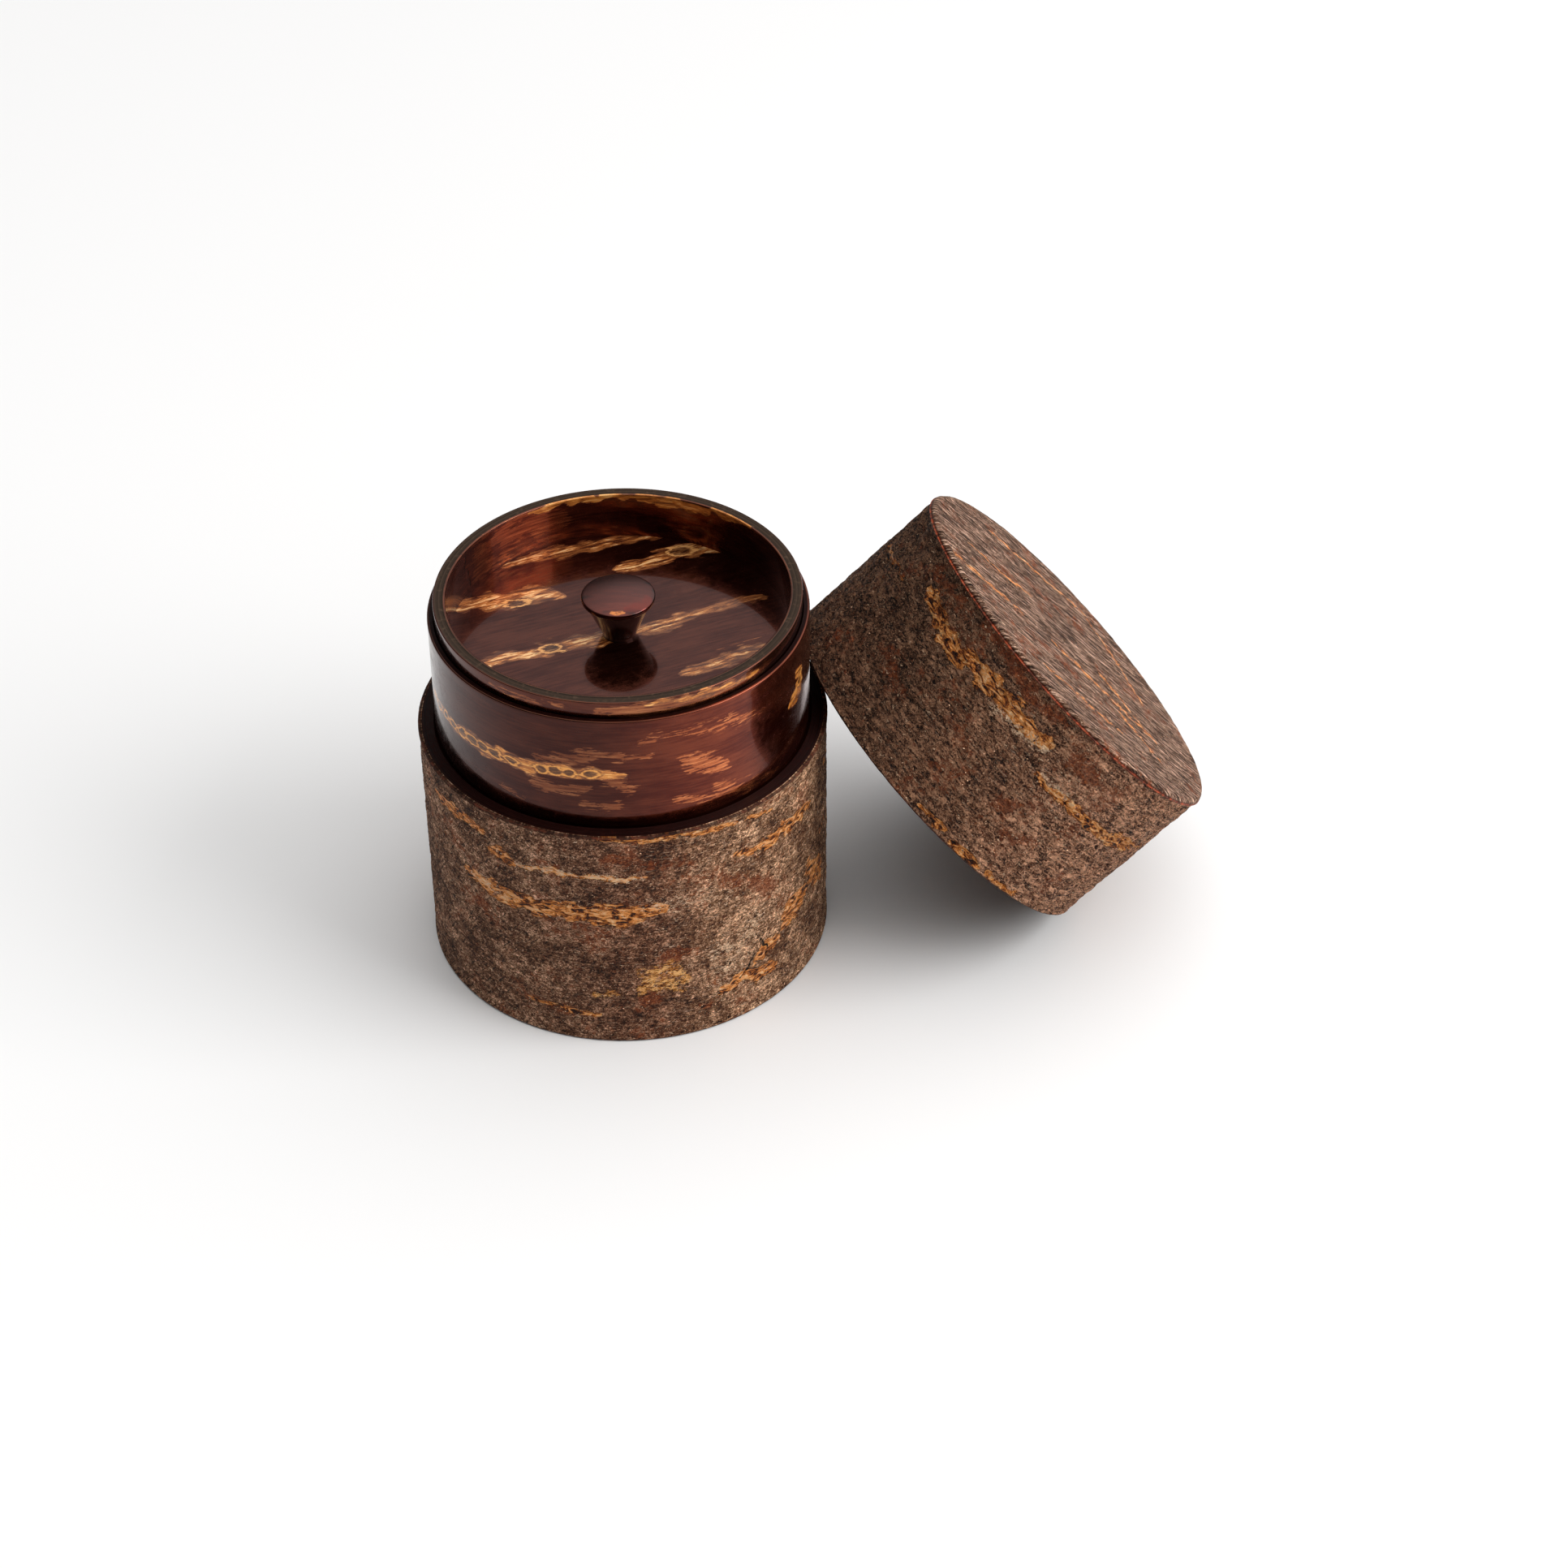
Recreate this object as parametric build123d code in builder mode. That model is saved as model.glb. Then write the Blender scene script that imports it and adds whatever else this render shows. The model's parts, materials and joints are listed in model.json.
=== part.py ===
from build123d import *
import math
import os

# A squat round tea caddy in cherry bark: a canister with a polished neck, a recessed
# inner lid with a turned knob, and a deep cap that slips over the neck.
# Millimetres, +Z up. The origin is the centre of the canister's underside.

# ---- overall sizes ----
outer_d = 84.0  # outside of the canister and of the cap
body_h = 54.0  # canister, from the table to its rim
neck_rise = 26.0  # neck above the canister's rim

# ---- canister wall, from the outside in ----
rough_bark_t = 0.8  # rough bark wrap
outer_ply_t = 1.3  # outer veneer tube
rim_wall_t = 3.65  # whole wall at the rim, out to in
rim_break = 0.45  # chamfer on the rim's inner edge
foot_break = 0.5  # chamfer round the foot
edge_break = 0.15  # sanded outer edge of the rim

# ---- base ----
base_bark_t = 0.7
base_board_t = 4.0
floor_lining_t = 0.5

# ---- neck ----
neck_bark_t = 0.4
neck_core_t = 0.75
neck_liner_t = 1.4
neck_lip_round = 0.3  # rounded lip of the neck's bark

# ---- inner lid ----
inner_lid_clearance = 0.2  # radial, between the ring and the neck's bore
ring_proud = 3.6  # ring above the neck's mouth
recess_depth = 10.3  # ring's top down to the disc
ring_outer_bark_t = 0.3
ring_inner_bark_t = 0.4
ring_wall_t = 2.5  # whole ring, out to in
ring_edge_round = 0.2
top_sheet_t = 0.5
inner_board_t = 2.2
under_sheet_t = 0.6

# ---- knob ----
knob_cap_d = 14.9
knob_base_d = 6.9
knob_h = 10.4  # disc to the crown of the cap
knob_crown = 0.9  # rise of the crown above its edge
knob_lip_t = 1.3  # crown's edge down to the top of the cone
knob_lip_inset = 0.7  # how far the cone starts inside the cap
knob_lip_round = 0.3  # how far the crown's edge stands inside the widest line
knob_foot_h = 0.5  # short straight foot under the cone
spigot_d = 4.6  # glued into the board

# ---- cap ----
cap_clearance = 0.1  # radial, cap's bore over the neck
cap_headroom = 3.1  # cap's ceiling above the ring when the cap is on
cap_board_t = 4.0
cap_top_bark_t = 0.8
cap_ceiling_t = 0.5
cap_lining_t = 0.5
cap_shoulder_r = 1.4  # rounded shoulder of the cap's top
cap_wrap_inset = 0.08  # the side wrap stands this far inside the top sheet's edge
cap_foot_break = 0.4  # chamfer on the cap's outer rim
cap_bore_break = 0.3  # lead-in chamfer at the cap's bore

# ---- how the cap leans on the canister ----
lean_rise = 8.6  # where the cap's rim meets the neck, above the canister's rim
lean_gap = 0.15
lean_bearing = 9.7  # degrees from +X to the middle of the cap's rim
lean_heading = 13.2  # degrees from +X to the way the cap's axis points

# ---- derived radii ----
outer_r = outer_d / 2
wrap_in_r = outer_r - rough_bark_t
ply_joint_r = wrap_in_r - outer_ply_t
neck_r = outer_r - rim_wall_t
neck_core_r = neck_r - neck_bark_t
neck_bore_r = neck_core_r - neck_core_t
liner_in_r = neck_bore_r - neck_liner_t
ring_r = neck_bore_r - inner_lid_clearance
ring_core_r = ring_r - ring_outer_bark_t
ring_in_r = ring_r - ring_wall_t
ring_core_in_r = ring_in_r + ring_inner_bark_t
spigot_r = spigot_d / 2
cap_bore_r = neck_r + cap_clearance
cap_ply_in_r = cap_bore_r + cap_lining_t
cap_joint_r = ply_joint_r

# ---- derived heights ----
board_low = base_bark_t
board_high = board_low + base_board_t
mouth_z = body_h + neck_rise
ring_top_z = mouth_z + ring_proud
disc_z = ring_top_z - recess_depth
inner_board_high = disc_z - top_sheet_t
inner_board_low = inner_board_high - inner_board_t
ledge_z = inner_board_low - under_sheet_t  # the inner lid sits on the liner's top edge here
cap_ceiling_h = neck_rise + ring_proud + cap_headroom
cap_board_low = cap_ceiling_h + cap_ceiling_t
cap_board_high = cap_board_low + cap_board_t
cap_h = cap_board_high + cap_top_bark_t

# ---- where the leaning cap lies: its rim's low point is on the table and its high point
# is beside the neck, so the two heights set how far it tips ----
cap_elevation = math.acos((body_h + lean_rise) / (2 * outer_r))
heading = math.radians(lean_heading)
bearing = math.radians(lean_bearing)
skew = heading - bearing
overhang = outer_r * math.sin(cap_elevation)
reach = neck_r + lean_gap
cap_distance = overhang * math.cos(skew) + math.sqrt(reach**2 - (overhang * math.sin(skew)) ** 2)
cap_lift = cap_foot_break * min(math.sin(cap_elevation), math.cos(cap_elevation))
cap_origin = Vector(
    cap_distance * math.cos(bearing),
    cap_distance * math.sin(bearing),
    outer_r * math.cos(cap_elevation) - cap_lift,
)
cap_axis_dir = Vector(
    math.cos(cap_elevation) * math.cos(heading),
    math.cos(cap_elevation) * math.sin(heading),
    math.sin(cap_elevation),
)
cap_side_dir = Vector(-math.sin(heading), math.cos(heading), 0)
cap_plane = Plane(origin=cap_origin, x_dir=cap_side_dir, z_dir=cap_axis_dir)
cap_section = Plane(origin=cap_origin, x_dir=cap_side_dir, z_dir=-cap_plane.y_dir)
cap_axis = Axis(cap_origin, cap_axis_dir)


def save(piece, label):
    """Names a finished piece and writes it."""
    piece.part.label = label
    export_step(piece.part, f"parts/{label}.step")


def tube(label, plane, r_out, r_in, low, high):
    """A plain round tube along the plane's normal."""
    with BuildPart() as piece:
        with BuildSketch(plane.offset(low)):
            Circle(r_out)
            Circle(r_in, mode=Mode.SUBTRACT)
        extrude(amount=high - low)
    save(piece, label)


def disc(label, plane, radius, low, high, hole_r=0.0):
    """A plain round sheet or board, with a hole in its middle where it has one."""
    with BuildPart() as piece:
        with BuildSketch(plane.offset(low)):
            Circle(radius)
            if hole_r:
                Circle(hole_r, mode=Mode.SUBTRACT)
        extrude(amount=high - low)
    save(piece, label)


def turned(label, section, axis, corners):
    """A ring turned about the axis from a straight-sided profile."""
    with BuildPart() as piece:
        with BuildSketch(section):
            with BuildLine():
                Polyline(*corners, close=True)
            make_face()
        revolve(axis=axis)
    save(piece, label)


os.makedirs("parts", exist_ok=True)

# ---- canister wall ----
turned(
    "body_bark",
    Plane.XZ,
    Axis.Z,
    [
        (wrap_in_r, 0),
        (outer_r - foot_break, 0),
        (outer_r, foot_break),
        (outer_r, body_h - edge_break),
        (outer_r - edge_break, body_h),
        (wrap_in_r, body_h),
    ],
)
tube("body_outer_ply", Plane.XY, wrap_in_r, ply_joint_r, base_bark_t, body_h)
turned(
    "body_inner_ply",
    Plane.XZ,
    Axis.Z,
    [
        (neck_r, base_bark_t),
        (ply_joint_r, base_bark_t),
        (ply_joint_r, body_h),
        (neck_r + rim_break, body_h),
        (neck_r, body_h - rim_break),
    ],
)

# ---- base ----
disc("base_bark", Plane.XY, wrap_in_r, 0, base_bark_t)
disc("base_board", Plane.XY, neck_r, board_low, board_high)
disc("floor_lining", Plane.XY, liner_in_r, board_high, board_high + floor_lining_t)

# ---- neck: bark outside, veneer core, and a liner whose top edge is the ledge ----
with BuildPart() as neck_bark:
    with BuildSketch(Plane.XY.offset(board_high)):
        Circle(neck_r)
        Circle(neck_core_r, mode=Mode.SUBTRACT)
    extrude(amount=mouth_z - board_high)
    fillet(
        neck_bark.faces().sort_by(Axis.Z)[-1].edges().sort_by(SortBy.RADIUS)[-1],
        radius=neck_lip_round,
    )
save(neck_bark, "neck_bark")
tube("neck_core", Plane.XY, neck_core_r, neck_bore_r, board_high, mouth_z)
tube("neck_liner", Plane.XY, neck_bore_r, liner_in_r, board_high, ledge_z)

# ---- inner lid: a ring wall round a bark-faced board ----
with BuildPart() as ring_outer_bark:
    with BuildSketch(Plane.XY.offset(ledge_z)):
        Circle(ring_r)
        Circle(ring_core_r, mode=Mode.SUBTRACT)
    extrude(amount=ring_top_z - ledge_z)
    fillet(
        ring_outer_bark.faces().sort_by(Axis.Z)[-1].edges().sort_by(SortBy.RADIUS)[-1],
        radius=ring_edge_round,
    )
save(ring_outer_bark, "ring_outer_bark")
tube("ring_core", Plane.XY, ring_core_r, ring_core_in_r, ledge_z, ring_top_z)
with BuildPart() as ring_inner_bark:
    with BuildSketch(Plane.XY.offset(disc_z)):
        Circle(ring_core_in_r)
        Circle(ring_in_r, mode=Mode.SUBTRACT)
    extrude(amount=ring_top_z - disc_z)
    fillet(
        ring_inner_bark.faces().sort_by(Axis.Z)[-1].edges().sort_by(SortBy.RADIUS)[0],
        radius=ring_edge_round,
    )
save(ring_inner_bark, "ring_inner_bark")
disc("inner_lid_top_bark", Plane.XY, ring_core_in_r, inner_board_high, disc_z, spigot_r)
disc("inner_lid_board", Plane.XY, ring_core_in_r, inner_board_low, inner_board_high, spigot_r)
disc("inner_lid_under_bark", Plane.XY, ring_core_in_r, ledge_z, inner_board_low)

# ---- knob: crowned cap, rounded lip, straight cone, foot and a glued spigot ----
knob_r = knob_cap_d / 2
knob_top_z = disc_z + knob_h
crown_edge_r = knob_r - knob_lip_round
crown_edge_z = knob_top_z - knob_crown
crown_r = (crown_edge_r**2 + knob_crown**2) / (2 * knob_crown)
crown_mid_z = knob_top_z - crown_r + math.sqrt(crown_r**2 - crown_edge_r**2 / 4)
cone_top_r = knob_r - knob_lip_inset
cone_top_z = crown_edge_z - knob_lip_t
with BuildPart() as knob:
    with BuildSketch(Plane.XZ):
        with BuildLine():
            Polyline(
                (0, knob_top_z),
                (0, inner_board_low),
                (spigot_r, inner_board_low),
                (spigot_r, disc_z),
                (knob_base_d / 2, disc_z),
                (knob_base_d / 2, disc_z + knob_foot_h),
                (cone_top_r, cone_top_z),
            )
            ThreePointArc(
                (cone_top_r, cone_top_z),
                (knob_r, crown_edge_z - knob_lip_t * 0.4),
                (crown_edge_r, crown_edge_z),
            )
            ThreePointArc(
                (crown_edge_r, crown_edge_z),
                (crown_edge_r / 2, crown_mid_z),
                (0, knob_top_z),
            )
        make_face()
    revolve(axis=Axis.Z)
save(knob, "knob")

# ---- cap, built where it leans ----
turned(
    "cap_bark",
    cap_section,
    cap_axis,
    [
        (wrap_in_r, 0),
        (outer_r - cap_foot_break, 0),
        (outer_r, cap_foot_break),
        (outer_r - cap_wrap_inset, cap_foot_break + 1.0),
        (outer_r - cap_wrap_inset, cap_h - cap_shoulder_r),
        (wrap_in_r, cap_h - cap_shoulder_r),
    ],
)
inner_shoulder_r = cap_shoulder_r - cap_top_bark_t
with BuildPart() as cap_top_bark:
    with BuildSketch(cap_section):
        with BuildLine():
            Polyline(
                (outer_r, cap_h - cap_shoulder_r),
                (wrap_in_r, cap_h - cap_shoulder_r),
            )
            RadiusArc(
                (wrap_in_r, cap_h - cap_shoulder_r),
                (wrap_in_r - inner_shoulder_r, cap_board_high),
                -inner_shoulder_r,
            )
            Polyline(
                (wrap_in_r - inner_shoulder_r, cap_board_high),
                (0, cap_board_high),
                (0, cap_h),
                (outer_r - cap_shoulder_r, cap_h),
            )
            RadiusArc(
                (outer_r - cap_shoulder_r, cap_h),
                (outer_r, cap_h - cap_shoulder_r),
                cap_shoulder_r,
            )
        make_face()
    revolve(axis=cap_axis)
save(cap_top_bark, "cap_top_bark")
with BuildPart() as cap_outer_ply:
    with BuildSketch(cap_section):
        with BuildLine():
            Polyline(
                (wrap_in_r - inner_shoulder_r, cap_board_high),
                (cap_joint_r, cap_board_high),
                (cap_joint_r, 0),
                (wrap_in_r, 0),
                (wrap_in_r, cap_h - cap_shoulder_r),
            )
            RadiusArc(
                (wrap_in_r, cap_h - cap_shoulder_r),
                (wrap_in_r - inner_shoulder_r, cap_board_high),
                -inner_shoulder_r,
            )
        make_face()
    revolve(axis=cap_axis)
save(cap_outer_ply, "cap_outer_ply")
tube("cap_inner_ply", cap_plane, cap_joint_r, cap_ply_in_r, 0, cap_board_high)
turned(
    "cap_lining",
    cap_section,
    cap_axis,
    [
        (cap_bore_r + cap_bore_break, 0),
        (cap_ply_in_r, 0),
        (cap_ply_in_r, cap_board_low),
        (cap_bore_r, cap_board_low),
        (cap_bore_r, cap_bore_break),
    ],
)
disc("cap_board", cap_plane, cap_ply_in_r, cap_board_low, cap_board_high)
disc("cap_ceiling_bark", cap_plane, cap_bore_r, cap_ceiling_h, cap_board_low)

print("cap elevation", round(math.degrees(cap_elevation), 2))
print("cap origin", [round(v, 3) for v in cap_origin], "axis", [round(v, 5) for v in cap_axis_dir])
print("cap height", cap_h, "mouth", mouth_z, "ledge", ledge_z, "ring top", ring_top_z, "disc", disc_z)
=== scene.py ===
"""A tea caddy wrapped in cherry bark: canister, inner lid and cap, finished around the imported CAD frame."""

import functools
import json
import logging
import math
from dataclasses import dataclass, field
from enum import Enum
from typing import Optional, Sequence, Union

import bpy
import numpy as np
from mathutils import Matrix, Vector

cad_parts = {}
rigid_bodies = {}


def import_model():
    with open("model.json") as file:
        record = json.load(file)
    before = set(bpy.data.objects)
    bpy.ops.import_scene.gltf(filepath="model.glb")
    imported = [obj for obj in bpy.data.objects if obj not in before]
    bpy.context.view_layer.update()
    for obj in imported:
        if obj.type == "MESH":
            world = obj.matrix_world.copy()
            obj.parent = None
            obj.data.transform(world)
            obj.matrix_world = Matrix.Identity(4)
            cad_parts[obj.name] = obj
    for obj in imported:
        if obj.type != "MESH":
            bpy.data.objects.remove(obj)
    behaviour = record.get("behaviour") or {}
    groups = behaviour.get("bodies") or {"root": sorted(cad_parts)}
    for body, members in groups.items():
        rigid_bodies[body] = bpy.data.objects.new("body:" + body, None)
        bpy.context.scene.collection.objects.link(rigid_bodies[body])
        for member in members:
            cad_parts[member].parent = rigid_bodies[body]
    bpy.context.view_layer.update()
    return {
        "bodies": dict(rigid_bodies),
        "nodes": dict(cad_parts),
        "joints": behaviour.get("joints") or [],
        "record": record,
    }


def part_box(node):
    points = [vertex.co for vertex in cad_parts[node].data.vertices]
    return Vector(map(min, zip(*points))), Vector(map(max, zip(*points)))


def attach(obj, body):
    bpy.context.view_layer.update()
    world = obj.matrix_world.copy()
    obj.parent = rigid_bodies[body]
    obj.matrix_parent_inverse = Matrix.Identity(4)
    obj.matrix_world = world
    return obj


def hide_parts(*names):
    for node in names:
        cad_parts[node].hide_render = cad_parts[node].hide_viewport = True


LOG = logging.getLogger("tea_caddy")
MM = 0.001
SHEET_MAP = "SheetMap"
TINY = 1e-9
PER_M2 = 1e6
FULL_TURN = 6.283
CREASE_ANGLE = math.radians(50)

Colour = tuple[float, float, float]
Point = tuple[float, float]
Socket = bpy.types.NodeSocket
Value = Union[float, Socket]
Triple = tuple[float, float, float]
Paint = Union[Colour, Socket]
Stops = Sequence[tuple[float, Colour]]


class Kind(Enum):
    """What a mark on the bark is. The value is also the name of the attribute that carries it."""

    AMBER = "amber"
    EYE = "eye"
    COPPER = "copper"
    RUST = "rust"
    GOLD = "gold"
    PALE = "pale"
    CRACK = "crack"


class Lay(Enum):
    """How a sheet of bark lies: wrapped round a wall or flat across a face."""

    WRAPPED = "wrapped"
    FLAT = "flat"


def shaded(paint: Colour, by: float) -> Colour:
    """A colour made darker or lighter, with no part over 1."""
    return tuple(min(1.0, by * part) for part in paint)


# ---------------------------------------------------------------- seeded noise


def lattice(u: np.ndarray, v: np.ndarray, cell: Point, period: float, seed: int) -> np.ndarray:
    """Smooth value noise on a lattice.

    Args:
        u: distance along the sheet, mm.
        v: distance across the sheet, mm.
        cell: size of a lattice cell along and across, mm.
        period: length after which u meets itself, or 0 where it doesn't.
        seed: seed of the lattice's values.

    Returns:
        Values from 0 to 1, one for each point.
    """
    start = 0.0 if period else float(u.min())
    span = period or float(np.ptp(u)) + 2 * cell[0]
    count = max(3, round(span / cell[0]))
    across = (v - v.min()) / cell[1]
    along = (u - start) / span * count
    low_u, low_v = np.floor(along).astype(int), np.floor(across).astype(int)
    table = np.random.default_rng(seed).random((int(low_v.max()) + 2, count))
    step_u, step_v = along - low_u, across - low_v
    step_u = step_u * step_u * (3 - 2 * step_u)
    step_v = step_v * step_v * (3 - 2 * step_v)
    near = table[low_v, low_u % count] * (1 - step_u) + table[low_v, (low_u + 1) % count] * step_u
    far = table[low_v + 1, low_u % count] * (1 - step_u) + table[low_v + 1, (low_u + 1) % count] * step_u
    return near * (1 - step_v) + far * step_v


# ---------------------------------------------------------------- marks on the bark


@dataclass(frozen=True)
class Mark:
    """One mark, such as a lenticel band or a rust patch.

    On a wrapped sheet its points are (degrees, height in mm), and on a flat one (x, y) in mm.
    """

    kind: Kind
    path: tuple[Point, ...]
    half: float
    strength: float = 1.0
    stretch: float = 1.7
    turn: float = 0.0
    tapered: bool = True


def eyes(places: Sequence[Point], half: float, stretch: float = 1.7, turn: float = 0.0) -> list[Mark]:
    """Oval cells of one size at several places: half-width in mm, length over width, turn in degrees."""
    return [Mark(Kind.EYE, (place,), half, stretch=stretch, turn=turn) for place in places]


@dataclass
class MarkMap:
    """The marks of one sheet, ready to be read at any of its points."""

    marks: list[Mark]
    lay: Lay
    radius: float
    seed: int
    push: float = 1.6

    DOT = 0.01
    TIP = 0.35
    EYE_PUSH = 0.9
    PUSH_ACROSS = 0.8
    SWELL = (0.55, 0.9)

    @property
    def period(self) -> float:
        """Length of the sheet round its wall, mm, or 0 where it lies flat."""
        return 2 * math.pi * self.radius if self.lay is Lay.WRAPPED else 0.0

    def spot(self, point: Point) -> np.ndarray:
        """A mark's point on the sheet.

        Args:
            point: the point as the mark gives it.

        Returns:
            Millimetres along and across the sheet.
        """
        if self.lay is Lay.WRAPPED:
            return np.array([math.radians(point[0]) * self.radius, point[1]])
        return np.array(point)

    def from_spot(self, u: np.ndarray, v: np.ndarray, spot: np.ndarray) -> tuple[np.ndarray, np.ndarray]:
        """Offsets of the sheet's points from a spot, the short way round.

        Args:
            u: distance along the sheet, mm.
            v: distance across the sheet, mm.
            spot: the place that they are measured from, mm.

        Returns:
            Offsets along and across, mm.
        """
        du = u - spot[0]
        if self.period:
            du = du - self.period * np.round(du / self.period)
        return du, v - spot[1]

    def band(self, mark: Mark, u: np.ndarray, v: np.ndarray, swell: np.ndarray) -> np.ndarray:
        """How deep each point lies in a band that follows the mark's path.

        Args:
            mark: the mark.
            u: distance along the sheet, mm.
            v: distance across the sheet, mm.
            swell: how much wider the band is at each point.

        Returns:
            Values from 0, outside, to the mark's strength, on its path.
        """
        spots = [self.spot(p) for p in mark.path]
        if len(spots) == 1:
            spots.append(spots[0] + np.array([self.DOT, 0.0]))
        best = np.zeros_like(u)
        steps = len(spots) - 1
        for k, (a, b) in enumerate(zip(spots, spots[1:])):
            du, dv = self.from_spot(u, v, a)
            run = b - a
            along = np.clip((du * run[0] + dv * run[1]) / (run @ run), 0, 1)
            gap = np.hypot(du - along * run[0], dv - along * run[1])
            share = (k + along) / steps
            width = mark.half * swell
            if mark.tapered and steps > 1:
                full = np.sqrt(np.clip(np.sin(math.pi * share), 0, 1))
                width = width * (self.TIP + (1 - self.TIP) * full)
            best = np.maximum(best, 1 - gap / width)
        return np.clip(best, 0, 1) * mark.strength

    def cell(self, mark: Mark, u: np.ndarray, v: np.ndarray) -> np.ndarray:
        """An oval cell.

        Args:
            mark: the cell's mark.
            u: distance along the sheet, mm.
            v: distance across the sheet, mm.

        Returns:
            1 at its middle, 0.5 on its outline and 0 at twice its size.
        """
        du, dv = self.from_spot(u, v, self.spot(mark.path[0]))
        turn = math.radians(mark.turn)
        along = du * math.cos(turn) + dv * math.sin(turn)
        across = dv * math.cos(turn) - du * math.sin(turn)
        return np.clip(1 - np.hypot(along / (mark.half * mark.stretch), across / mark.half) / 2, 0, 1)

    def fields(self, u: np.ndarray, v: np.ndarray) -> dict[str, np.ndarray]:
        """Reads every mark at the sheet's points.

        Args:
            u: distance along the sheet, mm.
            v: distance across the sheet, mm.

        Returns:
            One array of values from 0 to 1 for each kind of mark that the sheet has.
        """
        least, more = self.SWELL
        swell = least + more * lattice(u, v, (2.6, 1.6), self.period, self.seed)
        push_u = (lattice(u, v, (1.5, 1.1), self.period, self.seed + 1) - 0.5) * self.push
        push_v = (lattice(u, v, (1.8, 1.3), self.period, self.seed + 2) - 0.5) * self.push * self.PUSH_ACROSS
        found: dict[str, np.ndarray] = {}
        for mark in self.marks:
            if mark.kind is Kind.EYE:
                near = mark.half * self.EYE_PUSH
                value = self.cell(mark, u + push_u * near, v + push_v * near)
            elif mark.kind is Kind.CRACK:
                value = self.band(mark, u + push_u, v + push_v, np.ones_like(u))
            else:
                value = self.band(mark, u + push_u, v + push_v, swell)
            name = mark.kind.value
            found[name] = np.maximum(found.get(name, 0.0), value)
        return found


def wild_bands(
    seed: int, count: int, along: Point, across: Point, lean: float = 0.0, half: float = 1.3
) -> list[Mark]:
    """Lenticel bands at random places on a part of a sheet that nothing fixes.

    Args:
        seed: seed of the places.
        count: how many bands.
        along: range of their middles, in degrees on a wall or mm on a face.
        across: range of their heights, mm.
        lean: rise from one end to the other, mm.
        half: usual half-width, mm.

    Returns:
        The bands, each with a few bends.
    """
    rng = np.random.default_rng(seed)
    bands = []
    for _ in range(count):
        middle, level = rng.uniform(*along), rng.uniform(*across)
        reach = rng.uniform(5, 17)
        steps = np.linspace(-1, 1, 5)
        path = tuple(
            (float(middle + s * reach), float(level + lean * s + rng.uniform(-0.5, 0.5))) for s in steps
        )
        bands.append(Mark(Kind.AMBER, path, half * rng.uniform(0.5, 1.2), rng.uniform(0.7, 1.0)))
    return bands


# ---------------------------------------------------------------- material nodes


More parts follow.
